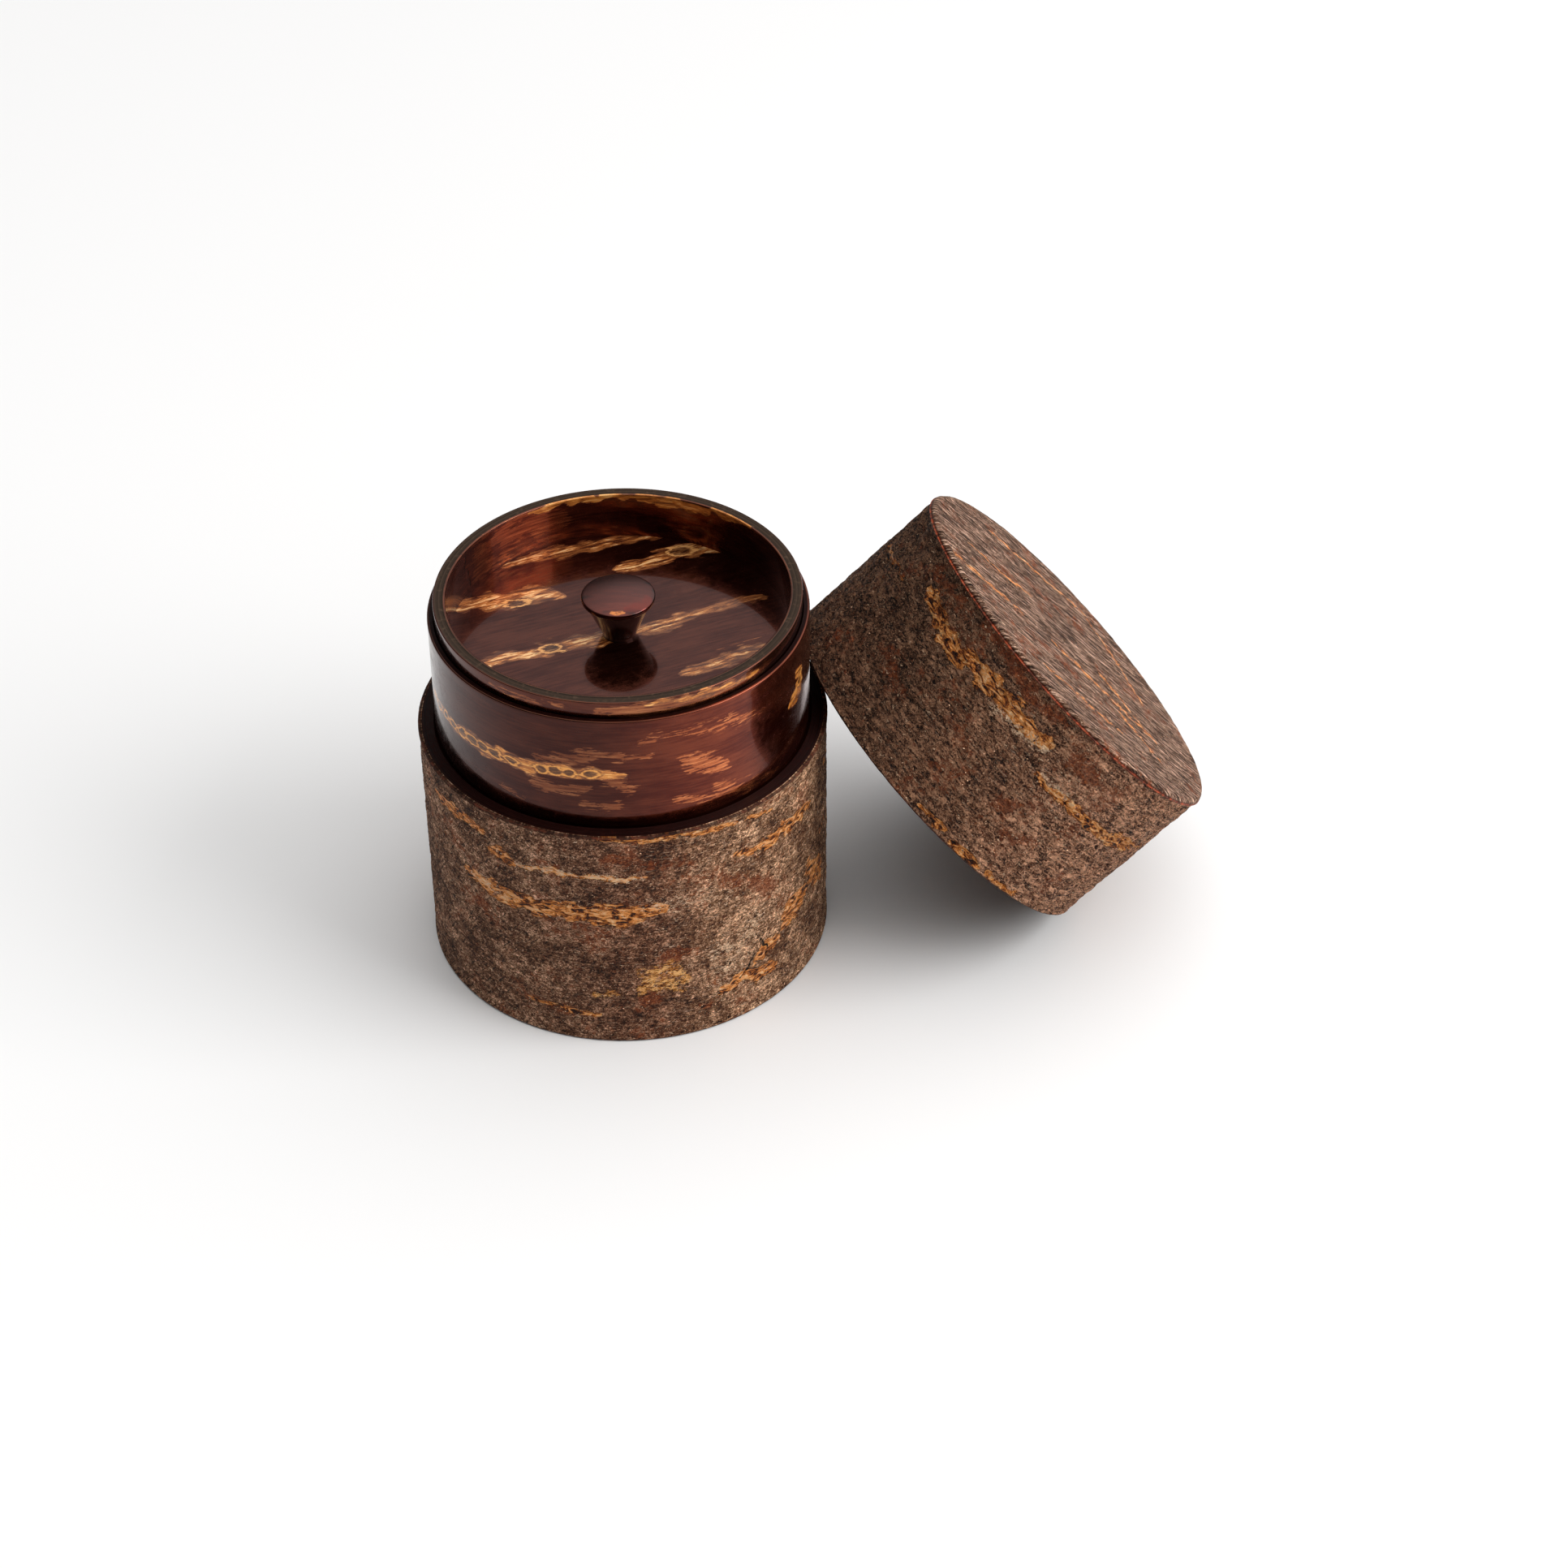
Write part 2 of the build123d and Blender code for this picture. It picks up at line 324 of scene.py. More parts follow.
class Weave:
    """Short calls that put nodes in one material and join them."""

    def __init__(self, name: str) -> None:
        """Starts a material with a Principled surface."""
        self.material = bpy.data.materials.new(name)
        self.material.use_nodes = True
        self.tree = self.material.node_tree
        self.tree.nodes.clear()
        self.surface = self.tree.nodes.new("ShaderNodeBsdfPrincipled")
        output = self.tree.nodes.new("ShaderNodeOutputMaterial")
        self.tree.links.new(self.surface.outputs["BSDF"], output.inputs["Surface"])

    def join(self, value: Union[Value, Sequence[float]], target: Socket) -> None:
        """Feeds a target.

        Args:
            value: a socket to link, or a plain value to set.
            target: the socket that takes it.
        """
        if isinstance(value, bpy.types.NodeSocket):
            self.tree.links.new(value, target)
        else:
            target.default_value = value

    def node(self, kind: str, inputs: dict[str, object], **settings: object) -> bpy.types.Node:
        """Adds a node.

        Args:
            kind: the shader node's type, without its first word.
            inputs: a value or a socket for each named input.
            settings: the node's own settings.

        Returns:
            The node.
        """
        made = self.tree.nodes.new("ShaderNode" + kind)
        for name, value in settings.items():
            setattr(made, name, value)
        for name, value in inputs.items():
            self.join(value, made.inputs[name])
        return made

    def sheet_place(self) -> Socket:
        """Millimetres along and across the sheet, from the piece's own map."""
        return self.node("UVMap", {}, uv_map=SHEET_MAP).outputs["UV"]

    def object_place(self) -> Socket:
        """The point in metres, in the row frame."""
        return self.node("TexCoord", {}).outputs["Object"]

    def attribute(self, name: str) -> Socket:
        """A value that the mesh carries at its points."""
        return self.node("Attribute", {}, attribute_name=name).outputs["Fac"]

    def mark(self, kind: Kind) -> Socket:
        """How deep the point lies in marks of one kind."""
        return self.attribute(kind.value)

    def mapped(
        self, place: Socket, scale: Triple = (1.0, 1.0, 1.0), turn: Triple = (0.0, 0.0, 0.0),
        shift: Triple = (0.0, 0.0, 0.0),
    ) -> Socket:
        """A place scaled, then turned, then shifted.

        Args:
            place: the place.
            scale: factor on each axis.
            turn: angle about each axis, radians.
            shift: move along each axis.

        Returns:
            The new place.
        """
        inputs = {"Vector": place, "Scale": scale, "Rotation": turn, "Location": shift}
        return self.node("Mapping", inputs).outputs["Vector"]

    def turned(self, place: Socket, degrees: float) -> Socket:
        """A place on the sheet turned about its normal."""
        return self.mapped(place, turn=(0.0, 0.0, math.radians(degrees)))

    def noise(
        self, place: Socket, scale: float, detail: float = 3.0, rough: float = 0.6, bend: float = 0.0,
        stretch: Point = (1.0, 1.0), shift: float = 0.0,
    ) -> Socket:
        """Noise with features about 1/scale wide.

        Args:
            place: where it is read.
            scale: features in a unit of the place.
            detail: number of finer layers.
            rough: strength of the finer layers.
            bend: how far the noise distorts itself.
            stretch: a factor under 1 draws the features out along that axis.
            shift: moves the pattern, so that two noises differ.

        Returns:
            Values from 0 to 1.
        """
        at = self.mapped(place, (*stretch, 1.0), shift=(shift, shift * 0.37, shift))
        inputs = {"Vector": at, "Scale": scale, "Detail": detail, "Roughness": rough, "Distortion": bend}
        return self.node("TexNoise", inputs).outputs["Fac"]

    def specks(self, place: Socket, scale: float) -> Socket:
        """Random cells about 1/scale wide, each with a value of its own."""
        cells = self.node("TexVoronoi", {"Vector": place, "Scale": scale})
        return self.node("SeparateColor", {"Color": cells.outputs["Color"]}).outputs[0]

    def bent(self, place: Socket, scale: float, amount: float) -> Socket:
        """Pushes a place about, so that a pattern on it loses its straight edges.

        Args:
            place: the place.
            scale: bends in a unit of the place.
            amount: how far it is pushed.

        Returns:
            The new place.
        """
        wander = self.node("TexNoise", {"Vector": place, "Scale": scale, "Detail": 2.0})
        push = self.node("VectorMath", {}, operation="MULTIPLY_ADD")
        for value, target in zip((wander.outputs["Color"], (amount, amount, 0.0), place), push.inputs):
            self.join(value, target)
        return push.outputs[0]

    def sum(self, how: str, a: Value, b: Value = 0.0) -> Socket:
        """One step of arithmetic.

        Args:
            how: the step, as Blender names it.
            a: first value.
            b: second value.

        Returns:
            The result.
        """
        node = self.node("Math", {}, operation=how)
        self.join(a, node.inputs[0])
        self.join(b, node.inputs[1])
        return node.outputs[0]

    def add(self, first: Value, *others: Value) -> Socket:
        """Several values added up."""
        return functools.reduce(functools.partial(self.sum, "ADD"), others, first)

    def times(self, a: Value, b: Value) -> Socket:
        """One value times another."""
        return self.sum("MULTIPLY", a, b)

    def swing(self, value: Value, gain: float) -> Socket:
        """How far a value is from its middle, times a gain."""
        return self.times(self.sum("SUBTRACT", value, 0.5), gain)

    def ridges(self, value: Socket, width: float) -> Socket:
        """1 where a value is at its middle, falling to 0 at width from it: thin winding lines."""
        return self.rise(self.sum("ABSOLUTE", self.sum("SUBTRACT", value, 0.5)), width, 0.0)

    def rise(
        self, value: Value, low: float, high: float, to_low: float = 0.0, to_high: float = 1.0
    ) -> Socket:
        """A smooth step.

        Args:
            value: what it follows.
            low: value where the step starts.
            high: value where it ends.
            to_low: result at the start.
            to_high: result at the end.

        Returns:
            The result.
        """
        inputs = {"Value": value, "From Min": low, "From Max": high, "To Min": to_low, "To Max": to_high}
        return self.node("MapRange", inputs, interpolation_type="SMOOTHSTEP").outputs["Result"]

    def blend(self, share: Value, under: Paint, over: Paint, how: str = "MIX") -> Socket:
        """One colour laid over another.

        Args:
            share: how much of the upper colour shows.
            under: the lower colour.
            over: the upper colour.
            how: how they mix, as Blender names it.

        Returns:
            The colour.
        """
        node = self.node("Mix", {}, data_type="RGBA", blend_type=how)
        self.join(share, node.inputs[0])
        for paint, target in ((under, node.inputs[6]), (over, node.inputs[7])):
            self.join(self.opaque(paint), target)
        return node.outputs[2]

    @staticmethod
    def opaque(paint: Paint) -> Union[Socket, tuple[float, ...]]:
        """A colour with its fourth value, or the socket as it is."""
        return paint if isinstance(paint, bpy.types.NodeSocket) else (*paint, 1.0)

    def ramp(self, value: Socket, stops: Stops) -> Socket:
        """Colours along a value.

        Args:
            value: what they follow.
            stops: a value and its colour, from low to high.

        Returns:
            The colour.
        """
        node = self.node("ValToRGB", {"Fac": value})
        bar = node.color_ramp.elements
        while len(bar) < len(stops):
            bar.new(0.5)
        for stop, (at, _) in zip(bar, stops):
            stop.position = at
        for stop, (_, paint) in zip(bar, stops):
            stop.color = (*paint, 1.0)
        return node.outputs["Color"]

    def relief(self, height: Socket, depth_mm: float, strength: float = 1.0) -> None:
        """Fine relief in the way the surface takes the light.

        Args:
            height: the relief, from 0 to 1.
            depth_mm: its depth, mm.
            strength: how much of it shows.
        """
        bump = self.node("Bump", {"Strength": strength, "Distance": depth_mm * MM, "Height": height})
        self.join(bump.outputs["Normal"], self.surface.inputs["Normal"])

    def finish(
        self, colour: Paint, roughness: Value, specular: float = 0.5, coat: float = 0.0,
        coat_roughness: float = 0.1, metallic: Value = 0.0,
    ) -> bpy.types.Material:
        """Sets the surface's own sockets.

        Args:
            colour: base colour.
            roughness: roughness of the base.
            specular: specular level of the base.
            coat: weight of the lacquer.
            coat_roughness: roughness of the lacquer.
            metallic: how much of the base shines in its own colour.

        Returns:
            The finished material.
        """
        inputs = self.surface.inputs
        self.join(self.opaque(colour), inputs["Base Color"])
        self.join(roughness, inputs["Roughness"])
        self.join(metallic, inputs["Metallic"])
        inputs["Specular IOR Level"].default_value = specular
        inputs["Coat Weight"].default_value = coat
        inputs["Coat Roughness"].default_value = coat_roughness
        return self.material


# ---------------------------------------------------------------- finishes


def tint(w: Weave, shade_tint: Colour, even: Colour, lit_tint: Colour, steps: Triple) -> Socket:
    """Painted light and shade: tint of a bark from its shaded side, past the middle, to its lit side.

    Args:
        w: the material.
        shade_tint: tint of the shaded side, painted shade.
        even: tint between the two.
        lit_tint: tint of the lit side, painted light.
        steps: values of the painted light field at which each tint is reached.

    Returns:
        The tint.
    """
    painted_light = w.attribute("painted_light")
    under = w.blend(w.rise(painted_light, steps[0], steps[1]), shade_tint, even)
    return w.blend(w.rise(painted_light, steps[1], steps[2]), under, lit_tint)


@dataclass
class BarkGround:
    """The patterns that the layers of one rough bark share."""

    place: Socket
    grain: Socket
    broad: Socket
    ragged: Socket
    strands: Socket
    torn: Socket
    outline: Socket
    inside: Socket


@dataclass(frozen=True)
class RoughBark:
    """Unpolished cherry bark: grey-brown granular skin, rust patches and torn amber lenticels, with painted
    light on its lit side and painted shade on its far side.
    """

    name: str
    # Painted light and shade: tints for the shaded side, the middle and the lit side.
    shade_tint: Colour = (1.44, 1.36, 1.26)
    even: Colour = (0.96, 0.76, 0.65)
    lit_tint: Colour = (1.94, 1.90, 1.66)
    turn: float = 0.0
    grain: float = 1.0
    fibre: float = 0.30
    wrinkle: float = 0.0
    fibre_scale: float = 1.5
    stroke_turn: float = -52.0
    mottle: float = 0.80
    lip: Colour = (0.085, 0.020, 0.009)

    FOLD_TURN = 28.0
    DEPTH_MM = 0.62
    TINT_STEPS = (0.39, 0.76, 0.97)
    PIT = (0.016, 0.008, 0.005)
    SCRATCH = (0.66, 0.44, 0.31)
    INK = (0.014, 0.005, 0.003)
    BROWN = (0.15, 0.042, 0.014)
    FLAKE = (0.96, 0.66, 0.43)
    CRACK = (0.004, 0.003, 0.003)
    SKIN = (
        (0.14, (0.008, 0.003, 0.002)),
        (0.34, (0.065, 0.025, 0.012)),
        (0.52, (0.140, 0.070, 0.041)),
        (0.68, (0.330, 0.188, 0.120)),
        (0.98, (0.860, 0.560, 0.400)),
    )
    RUST = ((0.34, (0.030, 0.007, 0.003)), (0.50, (0.20, 0.040, 0.012)), (0.66, (0.52, 0.150, 0.045)))
    FLESH = (
        (0.39, (0.014, 0.005, 0.003)),
        (0.44, (0.130, 0.028, 0.006)),
        (0.49, (0.540, 0.155, 0.030)),
        (0.555, (0.960, 0.370, 0.090)),
        (0.64, (1.000, 0.620, 0.320)),
    )
    LEAF = ((0.40, (0.07, 0.018, 0.004)), (0.48, (0.62, 0.22, 0.045)), (0.60, (1.0, 0.58, 0.22)))

    def material(self) -> bpy.types.Material:
        """Builds the finish.

        Returns:
            The material.
        """
        w = Weave(self.name)
        ground = self.ground(w)
        trimmed = w.attribute("edge")
        skin, height = self.skin(w, ground)
        skin = self.rusted(w, ground, skin)
        skin = self.lenticels(w, ground, skin)
        skin = self.flaked(w, ground, skin)
        lip = w.blend(w.rise(ground.torn, 0.42, 0.62), shaded(self.lip, 0.2), shaded(self.lip, 1.5))
        skin = w.blend(w.rise(trimmed, 0.1, 0.9, 0.0, 0.9), skin, lip)
        height = w.add(height, w.times(w.times(ground.inside, ground.strands), 0.9))
        w.relief(w.times(height, w.rise(trimmed, 0.0, 1.0, 1.0, 0.25)), self.DEPTH_MM)
        roughness = w.sum("SUBTRACT", 0.74, w.add(w.times(ground.inside, 0.26), w.times(trimmed, 0.15)))
        return w.finish(skin, roughness, specular=0.14)

    def ground(self, w: Weave) -> BarkGround:
        """Lays out the shared patterns.

        Args:
            w: the material.

        Returns:
            The patterns.
        """
        place = w.turned(w.sheet_place(), self.turn)
        amber = w.mark(Kind.AMBER)
        near = w.rise(amber, 0.0, 0.16)
        torn = w.noise(place, 0.70, 4, 0.75, bend=0.5, stretch=(0.50, 1.2), shift=61.0)
        deep = w.add(amber, w.swing(torn, 1.9))
        return BarkGround(
            place=place,
            grain=w.noise(place, 1.55, 4, 0.74, bend=1.3, stretch=(0.75, 1.25)),
            broad=w.noise(place, 0.10, 3, 0.6, shift=11.0),
            ragged=w.bent(place, 1.6, 0.9),
            strands=w.noise(place, 0.85, 4, 0.70, bend=0.9, stretch=(0.50, 1.3), shift=53.0),
            torn=torn,
            outline=w.times(w.rise(deep, -0.22, 0.02), near),
            inside=w.times(w.rise(deep, 0.02, 0.12), near),
        )

    def skin(self, w: Weave, ground: BarkGround) -> tuple[Socket, Socket]:
        """The granular skin under all the marks.

        Args:
            w: the material.
            ground: the shared patterns.

        Returns:
            Its colour and its height.
        """
        place, ragged = ground.place, ground.ragged
        fine = w.specks(ragged, 3.4)
        fibres = w.noise(place, self.fibre_scale, 4, 0.72, stretch=(0.16, 1.9), shift=3.0)
        mottle = w.noise(place, 0.42, 3, 0.6, shift=23.0)
        crease = w.noise(ragged, 0.75, 3, 0.62, bend=1.3, stretch=(0.50, 1.5), shift=37.0)
        folds = w.noise(w.turned(ragged, self.FOLD_TURN), 0.55, 3, 0.6, bend=1.0, stretch=(0.7, 1.2))
        small_folds = w.noise(ragged, 1.0, 3, 0.6, bend=1.2, shift=29.0)
        veins = w.sum("MAXIMUM", w.ridges(folds, 0.028), w.ridges(small_folds, 0.030))
        tone = w.add(
            w.swing(ground.grain, 1.62 * self.grain),
            w.swing(fibres, 2.3 * self.fibre),
            w.swing(fine, 0.34 * self.grain),
            w.swing(mottle, self.mottle),
            w.swing(ground.broad, self.mottle),
            w.times(veins, 0.42 * self.wrinkle),
            w.swing(crease, 1.75 * self.wrinkle),
            0.5,
        )
        # Painted light and shade: the skin is tinted lighter on the side that faces the key light and darker
        # on the far side.
        shade = tint(w, self.shade_tint, self.even, self.lit_tint, self.TINT_STEPS)
        skin = w.blend(1.0, w.ramp(tone, self.SKIN), shade, "MULTIPLY")
        painted_light = w.attribute("painted_light")
        slant = w.turned(place, self.stroke_turn)
        strokes = w.noise(slant, 1.1, 3, 0.65, stretch=(0.32, 1.7), shift=31.0)
        # Painted shade: the dark pits show more strongly on the shaded side.
        depth = w.rise(painted_light, 0.1, 0.8, 0.95, 0.6 - 0.2 * self.wrinkle)
        skin = w.blend(w.times(w.rise(strokes, 0.585, 0.62), depth), skin, self.PIT)
        scratch = w.noise(place, 2.0, 3, 0.7, stretch=(0.16, 1.9), shift=47.0)
        # Painted highlight: the pale scratches show more strongly on the lit side.
        light = w.rise(painted_light, 0.3, 0.9, 0.12, 0.8)
        skin = w.blend(w.times(w.rise(scratch, 0.61, 0.66), light), skin, self.SCRATCH)
        height = w.add(
            w.times(ground.grain, 0.95 * self.grain),
            w.times(fibres, 0.2 + 0.6 * self.fibre),
            w.times(fine, 0.26 * self.grain),
            w.times(mottle, 0.8),
            w.times(crease, 3.4 * self.wrinkle),
            w.times(veins, 0.7 * self.wrinkle),
        )
        return skin, height

    def rusted(self, w: Weave, ground: BarkGround, skin: Socket) -> Socket:
        """Rust patches where the skin has come away.

        Args:
            w: the material.
            ground: the shared patterns.
            skin: the colour under them.

        Returns:
            The colour with them.
        """
        wash = w.noise(ground.place, 0.80, 4, 0.72, shift=41.0)
        stain = w.add(w.mark(Kind.RUST), w.rise(ground.broad, 0.50, 0.66, 0.0, 0.42), w.swing(wash, 2.4))
        return w.blend(w.times(w.rise(stain, 0.16, 0.66), 0.80), skin, w.ramp(ground.grain, self.RUST))

    def lenticels(self, w: Weave, ground: BarkGround, skin: Socket) -> Socket:
        """Torn amber bands with dark outlines.

        Args:
            w: the material.
            ground: the shared patterns.
            skin: the colour under them.

        Returns:
            The colour with them.
        """
        flesh = w.ramp(w.add(ground.strands, w.times(w.mark(Kind.PALE), 0.06)), self.FLESH)
        rim = w.blend(w.rise(ground.torn, 0.46, 0.64), self.INK, self.BROWN)
        return w.blend(ground.inside, w.blend(w.times(ground.outline, 0.85), skin, rim), flesh)

    def flaked(self, w: Weave, ground: BarkGround, skin: Socket) -> Socket:
        """Golden leaves, pale dry flakes and cracks.

        Args:
            w: the material.
            ground: the shared patterns.
            skin: the colour under them.

        Returns:
            The colour with them.
        """
        gold = w.mark(Kind.GOLD)
        glint = w.noise(ground.place, 1.3, 4, 0.80, stretch=(0.8, 1.4), bend=0.6, shift=71.0)
        leaf = w.rise(w.add(w.times(gold, 0.62), w.swing(glint, 2.8)), 0.24, 0.38)
        golden = w.ramp(w.add(ground.strands, w.swing(ground.grain, 0.55)), self.LEAF)
        skin = w.blend(w.times(leaf, w.rise(gold, 0.0, 0.30)), skin, golden)
        scurf = w.noise(ground.ragged, 1.45, 3, 0.75, bend=0.8, stretch=(0.6, 1.5), shift=83.0)
        dry = w.add(scurf, w.times(w.mark(Kind.PALE), 0.15))
        skin = w.blend(w.rise(dry, 0.632, 0.675, 0.0, 0.88), skin, self.FLAKE)
        return w.blend(w.rise(w.mark(Kind.CRACK), 0.25, 0.6), skin, self.CRACK)


@dataclass(frozen=True)
class PolishedBark:
    """Bark scraped, polished and lacquered: deep burgundy with copper dashes and amber cells."""

    name: str
    turn: float = 0.0
    dark: Colour = (0.050, 0.0070, 0.0034)
    light: Colour = (0.120, 0.0260, 0.0130)
    copper: float = 0.0
    sheen: float = 0.0
    straw: bool = False
    core: float = 0.18
    coat: float = 0.34
    coat_roughness: float = 0.05
    # Share of the edge tint, worn edge and painted highlight along the lip.
    lip: float = 0.15

    METAL = ((0.34, (0.15, 0.038, 0.015)), (0.50, (0.32, 0.095, 0.034)), (0.64, (0.52, 0.200, 0.075)))
    SHADE_SIDE = (0.60, 0.60, 0.68)
    LIT_SIDE = (2.0, 1.8, 1.7)
    DEEP = (0.09, 0.020, 0.006)
    GLOW = (0.40, 0.135, 0.036)
    STRAW = (
        (0.40, (0.080, 0.018, 0.006)),
        (0.47, (0.260, 0.075, 0.020)),
        (0.54, (0.620, 0.220, 0.055)),
        (0.61, (1.000, 0.600, 0.270)),
    )
    HONEY = (
        (0.36, (0.14, 0.038, 0.008)),
        (0.46, (0.42, 0.130, 0.024)),
        (0.55, (0.74, 0.28, 0.055)),
        (0.64, (0.98, 0.52, 0.17)),
    )
    STRAW_RING = (0.84, 0.40, 0.13)
    HONEY_RING = (0.84, 0.36, 0.08)
    PITH = ((0.030, 0.008, 0.003), (0.14, 0.040, 0.010))
    CRACK = (0.006, 0.002, 0.002)
    WEAR_AND_HIGHLIGHT = (0.30, 0.11, 0.05)

    def material(self) -> bpy.types.Material:
        """Builds the finish.

        Returns:
            The material.
        """
        w = Weave(self.name)
        place = w.turned(w.sheet_place(), self.turn)
        fibres = w.noise(place, 1.2, 5, 0.65, stretch=(0.10, 1.5))
        strands = w.noise(place, 0.80, 5, 0.68, bend=0.45, stretch=(0.24, 1.45), shift=29.0)
        skin = self.copper_skin(w, place, fibres)
        skin, halo = self.lenticels(w, place, strands, skin)
        skin, ring = self.cells(w, strands, skin)
        skin = w.blend(w.rise(w.mark(Kind.CRACK), 0.2, 0.6, 0.0, 0.9), skin, self.CRACK)
        # Worn edges, partly a painted highlight: trimmed edges are tinted copper.
        skin = w.blend(w.rise(w.attribute("edge"), 0.0, 1.0, 0.0, self.lip), skin, self.WEAR_AND_HIGHLIGHT)
        w.relief(w.add(w.times(fibres, 0.5), w.times(strands, 0.25)), 0.02, 0.5)
        wear = w.noise(place, 0.5, 5, 0.7, shift=47.0)
        return w.finish(
            skin, w.rise(wear, 0.35, 0.68, 0.14, 0.28), specular=0.3, coat=self.coat,
            coat_roughness=self.coat_roughness,
            metallic=w.rise(w.sum("MAXIMUM", halo, ring), 0.0, 1.0, 0.95, 0.30),
        )

    def copper_skin(self, w: Weave, place: Socket, fibres: Socket) -> Socket:
        """Burgundy skin with copper dashes, with painted light on its lit side and painted shade on its far
        side where it has a sheen.

        Args:
            w: the material.
            place: the place on the sheet.
            fibres: the fibres' pattern.

        Returns:
            The colour.
        """
        broad = w.noise(place, 0.13, 4, 0.6, stretch=(0.5, 1.4), shift=7.0)
        tone = w.add(w.times(fibres, 0.5), w.times(broad, 0.5))
        skin = w.blend(w.rise(tone, 0.38, 0.62), self.dark, self.light)
        dashes = w.noise(place, 1.05, 4, 0.70, stretch=(0.24, 1.8), shift=17.0)
        amount = w.add(w.mark(Kind.COPPER), self.copper)
        shown = w.add(w.times(amount, 0.62), w.swing(dashes, 2.3))
        patch = w.times(w.rise(shown, 0.22, 0.32), w.rise(amount, 0.03, 0.25))
        skin = w.blend(w.times(patch, 0.72), skin, w.ramp(fibres, self.METAL))
        # Painted light and shade: with a sheen, the skin is lightened on the lit side and darkened on the far
        # side.
        if self.sheen:
            lit = w.blend(w.rise(w.attribute("painted_light"), 0.60, 1.0), self.SHADE_SIDE, self.LIT_SIDE)
            skin = w.blend(self.sheen, skin, w.blend(1.0, skin, lit, "MULTIPLY"))
        return skin

    def lenticels(self, w: Weave, place: Socket, strands: Socket, skin: Socket) -> tuple[Socket, Socket]:
        """Amber bands with a glow round them.

        Args:
            w: the material.
            place: the place on the sheet.
            strands: the strands' pattern.
            skin: the colour under them.

        Returns:
            The colour with them, and the glow's share.
        """
        torn = w.noise(place, 0.7, 4, 0.7, bend=0.4, stretch=(0.28, 1.3), shift=37.0)
        amber = w.mark(Kind.AMBER)
        deep = w.add(amber, w.swing(torn, 1.7))
        near = w.rise(amber, 0.0, 0.16)
        halo = w.times(w.rise(deep, -0.10, 0.30), near)
        inside = w.times(w.rise(deep, self.core, self.core + 0.16), near)
        glow = w.blend(w.rise(strands, 0.38, 0.60), self.DEEP, self.GLOW)
        skin = w.blend(w.times(halo, 0.80), skin, glow)
        return w.blend(inside, skin, w.ramp(strands, self.STRAW if self.straw else self.HONEY)), halo

    def cells(self, w: Weave, strands: Socket, skin: Socket) -> tuple[Socket, Socket]:
        """Oval cells: a dark outline, a bright ring and a dark middle.

        Args:
            w: the material.
            strands: the strands' pattern.
            skin: the colour under them.

        Returns:
            The colour with them, and the ring's share.
        """
        frayed = w.add(w.mark(Kind.EYE), w.swing(strands, 1.35 if self.straw else 1.0))
        ring = w.times(w.rise(frayed, 0.38, 0.46), w.rise(frayed, 0.62, 0.54))
        outline = w.times(w.rise(frayed, 0.18, 0.32), w.rise(frayed, 0.45, 0.36))
        skin = w.blend(w.times(outline, 0.6), skin, self.DEEP)
        bright = self.STRAW_RING if self.straw else self.HONEY_RING
        skin = w.blend(w.times(ring, w.rise(strands, 0.36, 0.52, 0.55, 1.0)), skin, bright)
        pith = w.blend(w.rise(strands, 0.5, 0.6), *self.PITH)
        return w.blend(w.times(w.rise(frayed, 0.56, 0.66), 0.85), skin, pith), ring


@dataclass(frozen=True)
class VeneerEdge:
    """The cut edge of laminated veneer: fine lines that follow the wall round."""

    name: str
    dark: Colour
    light: Colour
    roughness: float = 0.5
    centre: Matrix = field(default_factory=lambda: Matrix.Identity(4))

    LINES_PER_M = 2600.0
    DRIFT_PER_M = 500.0
    DUST_PER_M = 900.0

    def material(self) -> bpy.types.Material:
        """Builds the finish, with its lines measured from the wall's own axis.

        Returns:
            The material.
        """
        w = Weave(self.name)
        back = self.centre.inverted()
        place = w.mapped(w.object_place(), turn=tuple(back.to_euler()), shift=tuple(back.to_translation()))
        x, y, z = w.node("SeparateXYZ", {"Vector": place}).outputs
        out = w.sum("SQRT", w.add(w.times(x, x), w.times(y, y)))
        section = {"X": w.times(out, self.LINES_PER_M), "Y": w.times(z, self.DRIFT_PER_M)}
        lines = w.noise(w.node("CombineXYZ", section).outputs[0], 1.0, 4, 0.65)
        dust = w.noise(place, self.DUST_PER_M, 4, 0.7)
        skin = w.blend(w.rise(lines, 0.36, 0.64), self.dark, self.light)
        skin = w.blend(w.rise(dust, 0.52, 0.72, 0.0, 0.5), skin, shaded(self.light, 1.9))
        w.relief(w.add(lines, w.times(dust, 0.5)), 0.08, 0.8)
        roughness = w.rise(dust, 0.3, 0.7, self.roughness - 0.1, self.roughness + 0.12)
        return w.finish(skin, roughness, specular=0.08)


@dataclass(frozen=True)
class BoardWood:
    """Plain pale board with growth lines."""

    name: str

    WOOD = ((0.35, (0.20, 0.105, 0.050)), (0.52, (0.42, 0.27, 0.155)), (0.66, (0.56, 0.39, 0.25)))
    FLECK = (0.22, 0.12, 0.06)

    def material(self) -> bpy.types.Material:
        """Builds the finish.

        Returns:
            The material.
        """
        w = Weave(self.name)
        place = w.object_place()
        grain = w.noise(w.mapped(place, (60.0, 900.0, 900.0)), 1.0, 5, 0.6, bend=0.4)
        fleck = w.noise(w.mapped(place, (500.0, 3500.0, 3500.0)), 1.0, 3, 0.6)
        skin = w.blend(w.rise(fleck, 0.55, 0.7, 0.0, 0.4), w.ramp(grain, self.WOOD), self.FLECK)
        w.relief(grain, 0.1, 0.6)
        return w.finish(skin, w.rise(fleck, 0.3, 0.7, 0.5, 0.68), specular=0.35)


